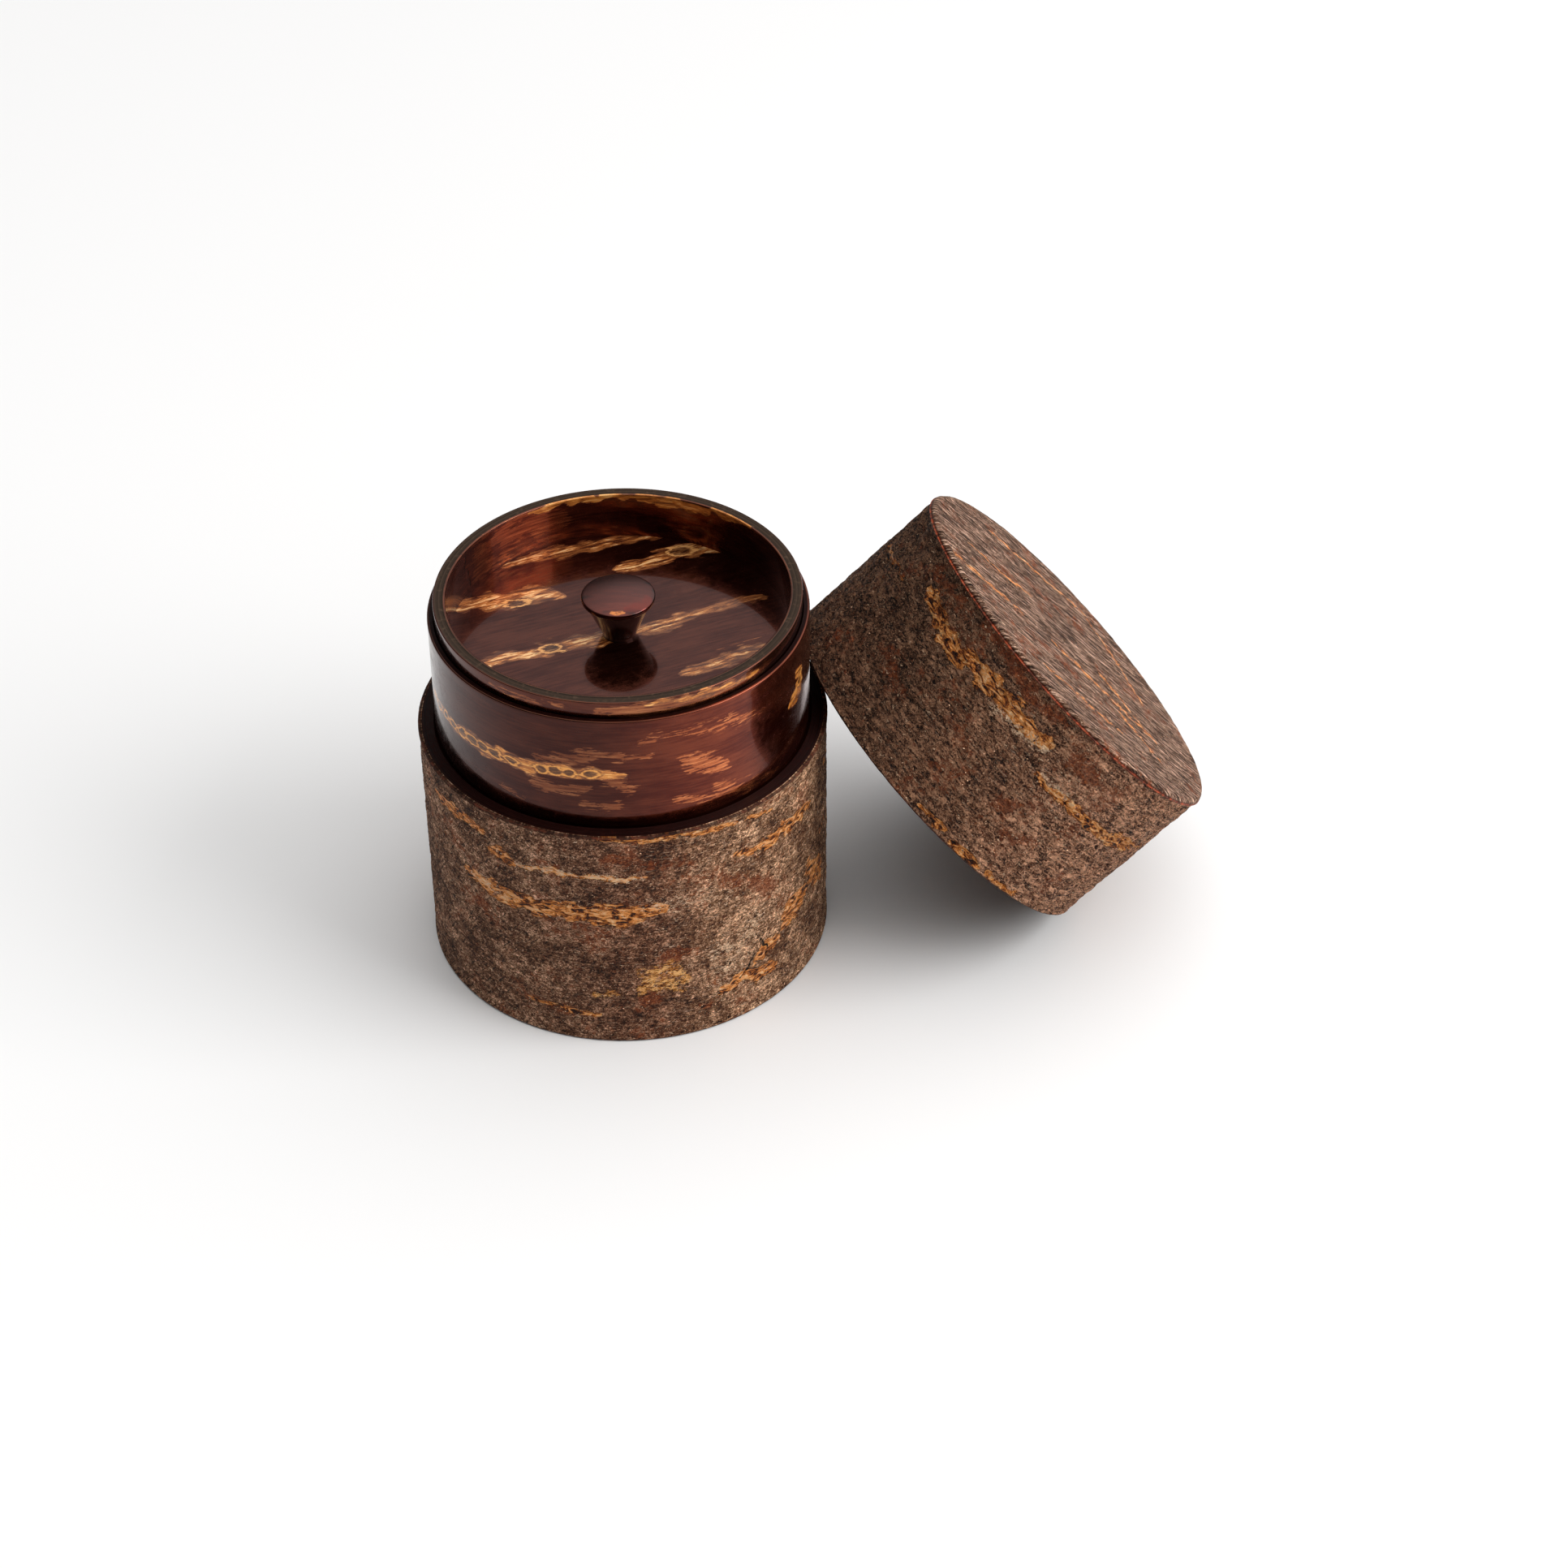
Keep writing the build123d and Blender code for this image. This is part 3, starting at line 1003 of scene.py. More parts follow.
@dataclass(frozen=True)
class KnobLacquer:
    """Turned hardwood under clear dark red lacquer, with a painted dark reflection on its cone. The copper
    mark shows where its crown is.
    """

    name: str

    CONE_DARK_REFLECTION = (0.010, 0.0016, 0.0010)
    CROWN = ((0.085, 0.0140, 0.0080), (0.125, 0.0230, 0.0130))
    GLINT = (0.62, 0.20, 0.045)
    GLOW = (0.15, 0.014, 0.006)

    def material(self) -> bpy.types.Material:
        """Builds the finish.

        Returns:
            The material.
        """
        w = Weave(self.name)
        place = w.object_place()
        grain = w.noise(w.mapped(place, (160.0, 900.0, 160.0)), 1.0, 5, 0.6, bend=0.6)
        mist = w.noise(place, 500.0, 4, 0.6)
        crown = w.blend(w.rise(grain, 0.3, 0.7), *self.CROWN)
        # Painted reflection: the cone below the crown is nearly black, standing in for the dark parts that it
        # reflects.
        skin = w.blend(w.rise(w.mark(Kind.COPPER), 0.05, 0.30), self.CONE_DARK_REFLECTION, crown)
        glint = w.times(w.rise(w.mark(Kind.AMBER), 0.1, 0.55), w.rise(mist, 0.36, 0.5, 0.35, 1.0))
        skin = w.blend(glint, skin, self.GLINT)
        # Painted glow: a reddish glow on the knob's right side, placed by the rust mark.
        skin = w.blend(w.rise(w.mark(Kind.RUST), 0.0, 0.9, 0.0, 0.65), skin, self.GLOW)
        w.relief(grain, 0.015, 0.4)
        roughness = w.rise(mist, 0.35, 0.65, 0.15, 0.24)
        return w.finish(skin, roughness, specular=0.3, coat=0.6, coat_roughness=0.08, metallic=0.9)


@dataclass(frozen=True)
class BarkCrumb:
    """Loose grains of bark, each with a shade of its own."""

    name: str

    SHADES = (
        (0.20, (0.006, 0.003, 0.002)),
        (0.55, (0.060, 0.026, 0.013)),
        (0.80, (0.180, 0.095, 0.058)),
        (0.93, (0.450, 0.270, 0.180)),
        (0.99, (0.860, 0.600, 0.430)),
    )
    SHADE_TINT = (1.08, 1.00, 0.92)
    LIT_TINT = (1.62, 1.40, 1.18)

    def material(self) -> bpy.types.Material:
        """Builds the finish.

        Returns:
            The material.
        """
        w = Weave(self.name)
        # Painted light and shade: crumbs are lighter on the lit side and darker on the shaded side.
        shade = w.blend(w.rise(w.attribute("painted_light"), 0.45, 1.0), self.SHADE_TINT, self.LIT_TINT)
        skin = w.blend(1.0, w.ramp(w.attribute("shade"), self.SHADES), shade, "MULTIPLY")
        fine = w.noise(w.object_place(), 3000.0, 3, 0.6)
        w.relief(fine, 0.1, 0.5)
        return w.finish(skin, w.rise(fine, 0.3, 0.7, 0.6, 0.85), specular=0.14)


@dataclass(frozen=True)
class TableTop:
    """A plain pale table."""

    name: str = "pale_table"
    colour: Colour = (0.93, 0.925, 0.92)

    def material(self) -> bpy.types.Material:
        """Builds the finish."""
        return Weave(self.name).finish(self.colour, 0.75, specular=0.2)


# ---------------------------------------------------------------- turned forms


@dataclass
class Row:
    """One level of a turned form.

    Its radius and height are in mm. Give is how much of the relief it takes, and edge is how
    much it belongs to a trimmed edge.
    """

    r: float
    z: float
    give: float = 0.0
    edge: float = 0.0


def run(r: float, low: float, high: float, count: int, fade: float = 0.0) -> list[Row]:
    """Rows up a straight wall, with relief that fades towards both ends.

    Args:
        r: radius, mm.
        low: first height, mm.
        high: last height, mm.
        count: number of steps.
        fade: length over which the relief fades in, mm.

    Returns:
        The rows, from low to high.
    """
    least, reach = 0.15, max(fade, 1e-6)
    rows = []
    for z in np.linspace(low, high, count + 1):
        from_end = min(abs(z - low), abs(high - z))
        rows.append(Row(r, float(z), float(np.clip(from_end / reach, least, 1.0))))
    return rows


def arc(middle: Point, radius: float, start: float, stop: float, count: int, give: float = 0.15) -> list[Row]:
    """Rows along a rounded edge, without its first point.

    Args:
        middle: radius and height of the rounding's middle, mm.
        radius: radius of the rounding, mm.
        start: first angle, degrees.
        stop: last angle, degrees.
        count: number of steps.
        give: how much of the relief the rows take.

    Returns:
        The rows.
    """
    r, z = middle
    angles = np.radians(np.linspace(start, stop, count + 1))[1:]
    return [Row(r + radius * math.cos(a), z + radius * math.sin(a), give, 1.0) for a in angles]


@dataclass
class Turning:
    """A closed form turned round an axis, with a map in mm and its marks as point attributes."""

    name: str
    rows: list[Row]
    marks: MarkMap
    columns: int = 600
    seam: float = 90.0
    place: Matrix = field(default_factory=lambda: Matrix.Identity(4))
    pole_to_pole: bool = False
    # Painted light: the angle, in degrees, of the side where the bark is painted lit.
    painted_light_side: float = -20.0
    lowest_mark: float = -math.inf

    PAINTED_LIGHT_SWING = 0.55

    def build(self, relief: Optional["Relief"] = None) -> bpy.types.Object:
        """Makes the mesh.

        Args:
            relief: how the surface gives way inwards, if it isn't smooth.

        Returns:
            The object, in place, with its mesh in metres in the row frame.
        """
        radii = np.array([row.r for row in self.rows])
        levels = np.array([row.z for row in self.rows])
        angles = math.radians(self.seam) + np.arange(self.columns) * 2 * math.pi / self.columns
        angle = np.repeat(angles[None, :], len(levels), 0)
        r = np.repeat(radii[:, None], self.columns, 1)
        z = np.repeat(levels[:, None], self.columns, 1)
        if self.marks.lay is Lay.WRAPPED:
            u, v = angle * self.marks.radius, z
        else:
            u, v = r * np.cos(angle), r * np.sin(angle)
        fields = self.marks.fields(u.ravel(), v.ravel())
        fields = {name: values * (z.ravel() >= self.lowest_mark) for name, values in fields.items()}
        if relief is not None:
            give = np.array([row.give for row in self.rows])[:, None]
            sink = relief.depth(u.ravel(), v.ravel(), self.marks.period, fields).reshape(r.shape) * give
            down = self.normals(radii, levels)
            r = r - sink * down[:, :1]
            z = z - sink * down[:, 1:]
        # Painted light: how far each point faces the lit side, from 0 on the shaded side to 1 on the lit
        # side.
        towards = np.cos(angle.ravel() - math.radians(self.painted_light_side))
        fields["painted_light"] = np.clip(0.5 + self.PAINTED_LIGHT_SWING * towards, 0, 1)
        fields["edge"] = np.repeat([row.edge for row in self.rows], self.columns)
        points = np.stack([r * np.cos(angle), r * np.sin(angle), z], 2).reshape(-1, 3) * MM
        place = np.array(self.place)
        points = points @ place[:3, :3].T + place[:3, 3]
        return self.mesh(points, fields)

    @staticmethod
    def normals(radii: np.ndarray, levels: np.ndarray) -> np.ndarray:
        """Outward directions of the rows of a section.

        Args:
            radii: the rows' radii, mm.
            levels: the rows' heights, mm.

        Returns:
            One direction (out, up) for each row.
        """
        run_r, run_z = np.gradient(radii), np.gradient(levels)
        length = np.maximum(np.hypot(run_r, run_z), TINY)
        return np.stack([run_z / length, -run_r / length], 1)

    def mesh(self, points: np.ndarray, fields: dict[str, np.ndarray]) -> bpy.types.Object:
        """Joins the points with faces, and writes the map and the attributes.

        Args:
            points: the points, row by row, metres.
            fields: values at the points.

        Returns:
            The object.
        """
        count, n = len(self.rows), self.columns
        keep = np.ones(len(points), bool)
        last_pole = (count - 1) * n
        if self.pole_to_pole:
            keep[1:n] = False
            keep[last_pole + 1 :] = False
        number = np.cumsum(keep) - 1
        if self.pole_to_pole:
            number[:n] = 0
            number[last_pole:] = number[last_pole]
        corners = self.faces()
        faces = [tuple(int(number[i * n + j % n]) for i, j in face) for face in corners]
        mesh = bpy.data.meshes.new(self.name)
        mesh.from_pydata(points[keep].tolist(), [], faces)
        layer = mesh.uv_layers.new(name=SHEET_MAP)
        where = np.array([corner for face in corners for corner in face])
        layer.data.foreach_set("uv", self.flat_places(where).astype(np.float32).ravel())
        for name in ("painted_light", "edge", *(kind.value for kind in Kind)):
            held = fields.get(name)
            data = mesh.attributes.new(name, "FLOAT", "POINT").data
            values = np.zeros(int(keep.sum())) if held is None else np.asarray(held)[keep]
            data.foreach_set("value", values.astype(np.float32))
        mesh.validate()
        mesh.shade_smooth()
        mesh.set_sharp_from_angle(angle=CREASE_ANGLE)
        piece = bpy.data.objects.new(self.name, mesh)
        bpy.context.scene.collection.objects.link(piece)
        return piece

    def faces(self) -> list[tuple[tuple[int, int], ...]]:
        """The faces between the rows.

        Returns:
            The corners of each face as (row, column).
        """
        count = len(self.rows)
        faces: list[tuple[tuple[int, int], ...]] = []
        for i in range(count - 1 if self.pole_to_pole else count):
            k = (i + 1) % count
            for j in range(self.columns):
                if self.pole_to_pole and i == 0:
                    faces.append(((i, j), (k, j + 1), (k, j)))
                elif self.pole_to_pole and k == count - 1:
                    faces.append(((i, j), (i, j + 1), (k, j)))
                else:
                    faces.append(((i, j), (i, j + 1), (k, j + 1), (k, j)))
        return faces

    def flat_places(self, where: np.ndarray) -> np.ndarray:
        """Places on the flat sheet.

        Args:
            where: corners as (row, column).

        Returns:
            Their places, mm.
        """
        turn = math.radians(self.seam) + where[:, 1] * (2 * math.pi / self.columns)
        if self.marks.lay is Lay.WRAPPED:
            level = np.array([row.z for row in self.rows])[where[:, 0]]
            return np.stack([turn * self.marks.radius, level], 1)
        out = np.array([row.r for row in self.rows])[where[:, 0]]
        return np.stack([out * np.cos(turn), out * np.sin(turn)], 1)


@dataclass(frozen=True)
class Relief:
    """How a sheet of bark gives way inwards from its full size, in mm."""

    depth_mm: float
    seed: int
    grain: tuple[Point, ...] = ((0.85, 0.85), (1.9, 1.6), (5.5, 3.2))
    shares: tuple[float, ...] = (0.5, 0.32, 0.18)
    wrinkle: float = 0.0
    crack: float = 0.28
    lenticel: float = 0.16

    FOLD_SLANT = 0.55
    FOLD_CELL = (1.1, 2.6)
    TORN_CELL = (0.7, 0.5)

    def depth(self, u: np.ndarray, v: np.ndarray, period: float, fields: dict[str, np.ndarray]) -> np.ndarray:
        """Depth at the sheet's points.

        Args:
            u: distance along the sheet, mm.
            v: distance across the sheet, mm.
            period: length of the sheet round its wall, or 0.
            fields: the sheet's marks.

        Returns:
            Depth in mm, never below 0.
        """
        high = sum(
            share * lattice(u, v, cell, period, self.seed + k)
            for k, (cell, share) in enumerate(zip(self.grain, self.shares))
        )
        depth = self.depth_mm * (1 - high)
        if self.wrinkle:
            slanted = u + v * self.FOLD_SLANT
            fold = np.abs(2 * lattice(slanted, v, self.FOLD_CELL, period, self.seed + 9) - 1)
            depth = depth + self.wrinkle * (1 - fold) ** 2
        torn = lattice(u, v, self.TORN_CELL, period, self.seed + 13)
        lenticel = self.lenticel * torn
        for name, share in (("crack", self.crack), ("amber", lenticel), ("gold", lenticel)):
            if name in fields:
                depth = depth + share * np.clip(fields[name] * 2, 0, 1)
        return np.maximum(depth, 0.0)


# ---------------------------------------------------------------- geometry nodes


@dataclass
class NodeMaker:
    """A Geometry Nodes tree with named inputs, run once on a start mesh and then applied."""

    name: str
    tree: bpy.types.NodeTree = field(init=False)

    def __post_init__(self) -> None:
        """Starts the tree with its geometry input and output."""
        self.tree = bpy.data.node_groups.new(self.name, "GeometryNodeTree")
        face = self.tree.interface
        face.new_socket("Geometry", in_out="INPUT", socket_type="NodeSocketGeometry")
        face.new_socket("Geometry", in_out="OUTPUT", socket_type="NodeSocketGeometry")
        self.inputs = self.tree.nodes.new("NodeGroupInput")
        self.output = self.tree.nodes.new("NodeGroupOutput")

    def input(self, name: str, kind: str) -> Socket:
        """Adds a named input, of the socket type kind, and gives its socket."""
        self.tree.interface.new_socket(name, in_out="INPUT", socket_type=kind)
        return self.inputs.outputs[name]

    def node(self, kind: str, inputs: dict[Union[int, str], object], **settings: object) -> bpy.types.Node:
        """Adds a node.

        Args:
            kind: the node's type.
            inputs: a value or a socket for each named or numbered input.
            settings: the node's own settings.

        Returns:
            The node.
        """
        made = self.tree.nodes.new(kind)
        for name, value in settings.items():
            setattr(made, name, value)
        for name, value in inputs.items():
            if isinstance(value, bpy.types.NodeSocket):
                self.tree.links.new(value, made.inputs[name])
            else:
                made.inputs[name].default_value = value
        return made

    def close(self, shape: Socket, finish: Socket) -> None:
        """Turns instances into a plain mesh, gives it its material and ends the tree.

        Args:
            shape: the tree's shape.
            finish: its material.
        """
        real = self.node("GeometryNodeRealizeInstances", {"Geometry": shape})
        paint = {"Geometry": real.outputs["Geometry"], "Material": finish}
        done = self.node("GeometryNodeSetMaterial", paint)
        self.tree.links.new(done.outputs["Geometry"], self.output.inputs["Geometry"])

    def run(self, start: bpy.types.Mesh, name: str, values: dict[str, object]) -> bpy.types.Object:
        """Runs the tree on a mesh and keeps the result as a plain mesh.

        Args:
            start: mesh that the tree works on.
            name: name of the new piece.
            values: value of each named input.

        Returns:
            The new piece, with no modifier left on it.
        """
        host = bpy.data.objects.new(name + "_start", start)
        bpy.context.scene.collection.objects.link(host)
        modifier = host.modifiers.new(self.name, "NODES")
        modifier.node_group = self.tree
        for item in self.tree.interface.items_tree:
            if item.item_type == "SOCKET" and item.in_out == "INPUT" and item.name in values:
                modifier[item.identifier] = values[item.name]
        bpy.context.view_layer.update()
        graph = bpy.context.evaluated_depsgraph_get()
        mesh = bpy.data.meshes.new_from_object(host.evaluated_get(graph))
        mesh.name = name
        bpy.data.objects.remove(host)
        piece = bpy.data.objects.new(name, mesh)
        bpy.context.scene.collection.objects.link(piece)
        return piece


def crumb_tree() -> NodeMaker:
    """Scatters flat grains of bark over a sheet, thicker where its crumb value is high.

    Returns:
        The tree.
    """
    maker = NodeMaker("bark_crumbs")
    amount = maker.input("Crumbs per square metre", "NodeSocketFloat")
    size = maker.input("Crumb size", "NodeSocketFloat")
    seed = maker.input("Seed", "NodeSocketInt")
    finish = maker.input("Finish", "NodeSocketMaterial")
    where = maker.node("GeometryNodeInputNamedAttribute", {"Name": "crumb"}, data_type="FLOAT")
    thick = maker.node("ShaderNodeMath", {0: where.outputs["Attribute"], 1: amount}, operation="MULTIPLY")
    scatter = maker.node(
        "GeometryNodeDistributePointsOnFaces",
        {"Mesh": maker.inputs.outputs["Geometry"], "Density": thick.outputs[0], "Seed": seed},
    )
    grain = maker.node("GeometryNodeMeshUVSphere", {"Segments": 4, "Rings": 2, "Radius": 1.0})
    flat = maker.node(
        "GeometryNodeTransform", {"Geometry": grain.outputs["Mesh"], "Scale": (1.0, 0.5, 0.26)}
    )
    spread = maker.node("FunctionNodeRandomValue", {2: 0.45, 3: 1.25, "Seed": 3}, data_type="FLOAT")
    big = maker.node("ShaderNodeMath", {0: spread.outputs[1], 1: size}, operation="MULTIPLY")
    place = maker.node(
        "GeometryNodeInstanceOnPoints",
        {
            "Points": scatter.outputs["Points"], "Instance": flat.outputs["Geometry"],
            "Rotation": scatter.outputs["Rotation"], "Scale": big.outputs[0],
        },
    )
    tumble = maker.node(
        "FunctionNodeRandomValue",
        {0: (-0.5, -0.5, 0.0), 1: (0.5, 0.5, FULL_TURN), "Seed": 5}, data_type="FLOAT_VECTOR",
    )
    spin = maker.node(
        "GeometryNodeRotateInstances",
        {"Instances": place.outputs["Instances"], "Rotation": tumble.outputs[0]},
    )
    shade = maker.node("FunctionNodeRandomValue", {"Seed": 7}, data_type="FLOAT")
    store = maker.node(
        "GeometryNodeStoreNamedAttribute",
        {"Name": "shade", "Geometry": spin.outputs["Instances"], "Value": shade.outputs[1]},
        data_type="FLOAT", domain="INSTANCE",
    )
    maker.close(store.outputs["Geometry"], finish)
    return maker


def ridge_tree() -> NodeMaker:
    """Lays fine concentric ridges, the ends of the veneers, round a cut edge.

    Returns:
        The tree.
    """
    maker = NodeMaker("veneer_ridges")
    inner = maker.input("Inner radius", "NodeSocketFloat")
    outer = maker.input("Outer radius", "NodeSocketFloat")
    level = maker.input("Level", "NodeSocketFloat")
    count = maker.input("Ridges", "NodeSocketInt")
    wide = maker.input("Ridge width", "NodeSocketFloat")
    seed = maker.input("Seed", "NodeSocketInt")
    finish = maker.input("Finish", "NodeSocketMaterial")
    lift = maker.node("ShaderNodeCombineXYZ", {"Z": level})
    dots = maker.node("GeometryNodePoints", {"Count": count, "Position": lift.outputs[0]})
    index = maker.node("GeometryNodeInputIndex", {})
    jitter = maker.node("FunctionNodeRandomValue", {2: -0.28, 3: 0.28, "Seed": seed}, data_type="FLOAT")
    shifted = maker.node("ShaderNodeMath", {0: index.outputs[0], 1: jitter.outputs[1]}, operation="ADD")
    last = maker.node("ShaderNodeMath", {0: count, 1: 1.0}, operation="SUBTRACT")
    spacing = maker.node(
        "ShaderNodeMapRange",
        {"Value": shifted.outputs[0], "From Max": last.outputs[0], "To Min": inner, "To Max": outer},
    )
    wide_by = spacing.outputs["Result"]
    scale = maker.node("ShaderNodeCombineXYZ", {"X": wide_by, "Y": wide_by, "Z": 1.0})
    hoop = maker.node("GeometryNodeCurvePrimitiveCircle", {"Resolution": 300, "Radius": 1.0})
    place = maker.node(
        "GeometryNodeInstanceOnPoints",
        {"Points": dots.outputs[0], "Instance": hoop.outputs["Curve"], "Scale": scale.outputs[0]},
    )
    hoops = maker.node("GeometryNodeRealizeInstances", {"Geometry": place.outputs["Instances"]})
    section = maker.node("GeometryNodeCurvePrimitiveCircle", {"Resolution": 6, "Radius": wide})
    sweep = maker.node(
        "GeometryNodeCurveToMesh",
        {"Curve": hoops.outputs["Geometry"], "Profile Curve": section.outputs["Curve"]},
    )
    maker.close(sweep.outputs["Mesh"], finish)
    return maker


# ---------------------------------------------------------------- shared by the sub-assemblies


def dress(piece: bpy.types.Object, finish: bpy.types.Material) -> None:
    """Gives a piece or a carried CAD node its one finish.

    Args:
        piece: the piece or node.
        finish: its material.
    """
    if not piece.material_slots:
        piece.data.materials.append(finish)
    for slot in piece.material_slots:
        slot.material = finish


def fit(piece: bpy.types.Object, body: str, slot: str, *nodes: str) -> None:
    """Puts a piece on its body and reports it.

    Args:
        piece: the piece.
        body: the body that it rides on.
        slot: not used.
        nodes: the CAD nodes that it stands for.
    """
    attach(piece, body)
    if nodes:
        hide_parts(*nodes)
    points, faces = len(piece.data.vertices), len(piece.data.polygons)
    LOG.info("%s on %s: %d points, %d faces", piece.name, body, points, faces)


def upright(node: str) -> tuple[float, float, float]:
    """Radius, lowest and highest level of a CAD node that stands on the caddy's axis, mm."""
    low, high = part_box(node)
    return high.x / MM, low.z / MM, high.z / MM


@dataclass(frozen=True)
class Envelope:
    """The plain cylinder that a sub-assembly stays inside."""

    place: Matrix
    radius: float
    low: float
    high: float
    inset: float = 0.04

    def hold(self, piece: bpy.types.Object) -> None:
        """Moves points that stand outside the cylinder, or under the table, back onto it.

        Args:
            piece: the piece whose points are held.
        """
        mesh = piece.data
        points = np.zeros(len(mesh.vertices) * 3)
        mesh.vertices.foreach_get("co", points)
        points = points.reshape(-1, 3)
        back, there = np.array(self.place.inverted()), np.array(self.place)
        local = points @ back[:3, :3].T + back[:3, 3]
        out = np.hypot(local[:, 0], local[:, 1])
        shrink = np.minimum(1.0, (self.radius - self.inset) * MM / np.maximum(out, TINY))
        local[:, :2] *= shrink[:, None]
        local[:, 2] = np.clip(local[:, 2], self.low * MM, self.high * MM)
        points = local @ there[:3, :3].T + there[:3, 3]
        points[:, 2] = np.maximum(points[:, 2], 0.0)
        mesh.vertices.foreach_set("co", points.ravel())
        mesh.update()


@dataclass(frozen=True)
class CrumbField:
    """The loose crumbs on one sheet of rough bark."""

    name: str
    per_mm2: float
    size_mm: float
    seed: int

    THINNEST = 0.2

    def lay(
        self, maker: NodeMaker, sheet: bpy.types.Object, finish: bpy.types.Material, form: Envelope
    ) -> bpy.types.Object:
        """Scatters the crumbs.

        Args:
            maker: the crumb tree.
            sheet: the bark that they lie on.
            finish: their material.
            form: the form that they may not leave.

        Returns:
            The crumbs as one piece.
        """
        self.thin(sheet.data)
        values = {
            "Crumbs per square metre": self.per_mm2 * PER_M2, "Crumb size": self.size_mm * MM,
            "Seed": self.seed, "Finish": finish,
        }
        piece = maker.run(sheet.data.copy(), self.name, values)
        form.hold(piece)
        dress(piece, finish)
        return piece

    def thin(self, mesh: bpy.types.Mesh) -> None:
        """Writes where crumbs may lie: in drifts, and not on lenticels, leaf or trimmed edges.

        Args:
            mesh: the sheet's mesh.
        """
        count = len(mesh.vertices)

        def read(name: str) -> np.ndarray:
            """One of the mesh's point values."""
            values = np.zeros(count, np.float32)
            mesh.attributes[name].data.foreach_get("value", values)
            return values

        drift = np.random.default_rng(self.seed).uniform(self.THINNEST, 1.0, count)
        clear = np.clip(1 - 3 * read("amber") - 3 * read("gold") - 2 * read("edge"), 0.0, 1.0)
        values = (drift * clear).astype(np.float32)
        mesh.attributes.new("crumb", "FLOAT", "POINT").data.foreach_set("value", values)


def worn_foot(r: float, low: float, inner: float, corner: float, worn: Point) -> list[Row]:
    """Rows under a sheet's worn lower edge.

    Args:
        r: the sheet's outer radius, mm.
        low: its lowest level, mm.
        inner: its inner radius, mm.
        corner: how far in the flat of the edge ends, mm.
        worn: how far in and up the worn corner stands, mm.

    Returns:
        The rows, from the inner face out.
    """
    give = 0.15
    return [Row(inner, low), Row(r - corner, low, 0.1, 1.0), Row(r - worn[0], low + worn[1], give, 1.0)]


def across(r: float, level: float, step: float) -> list[Row]:
    """Rows across a flat face, from its rim in to the axis, without the rim itself.

    Args:
        r: radius of the rim, mm.
        level: height of the face, mm.
        step: distance between rows, mm.

    Returns:
        The rows.
    """
    steps = round(r / step)
    return [Row(r * k / steps, level, 1.0) for k in range(steps - 1, 0, -1)] + [Row(0.0, level, 1.0)]


def fit_rough(
    sheet: bpy.types.Object, body: str, node: str, finish: bpy.types.Material, crumbs: CrumbField,
    form: Envelope, looks: "Looks",
) -> None:
    """Dresses a sheet of rough bark, scatters its crumbs and fits both.

    Args:
        sheet: the sheet.
        body: the body that it rides on.
        node: the CAD node that it stands for.
        finish: its material.
        crumbs: its crumbs.
        form: the form that the crumbs may not leave.
        looks: the finishes.
    """
    dress(sheet, finish)
    grains = crumbs.lay(looks.crumbs, sheet, looks.crumb, form)
    fit(sheet, body, "rough_bark", node)
    fit(grains, body, "rough_bark")


# ---------------------------------------------------------------- canister


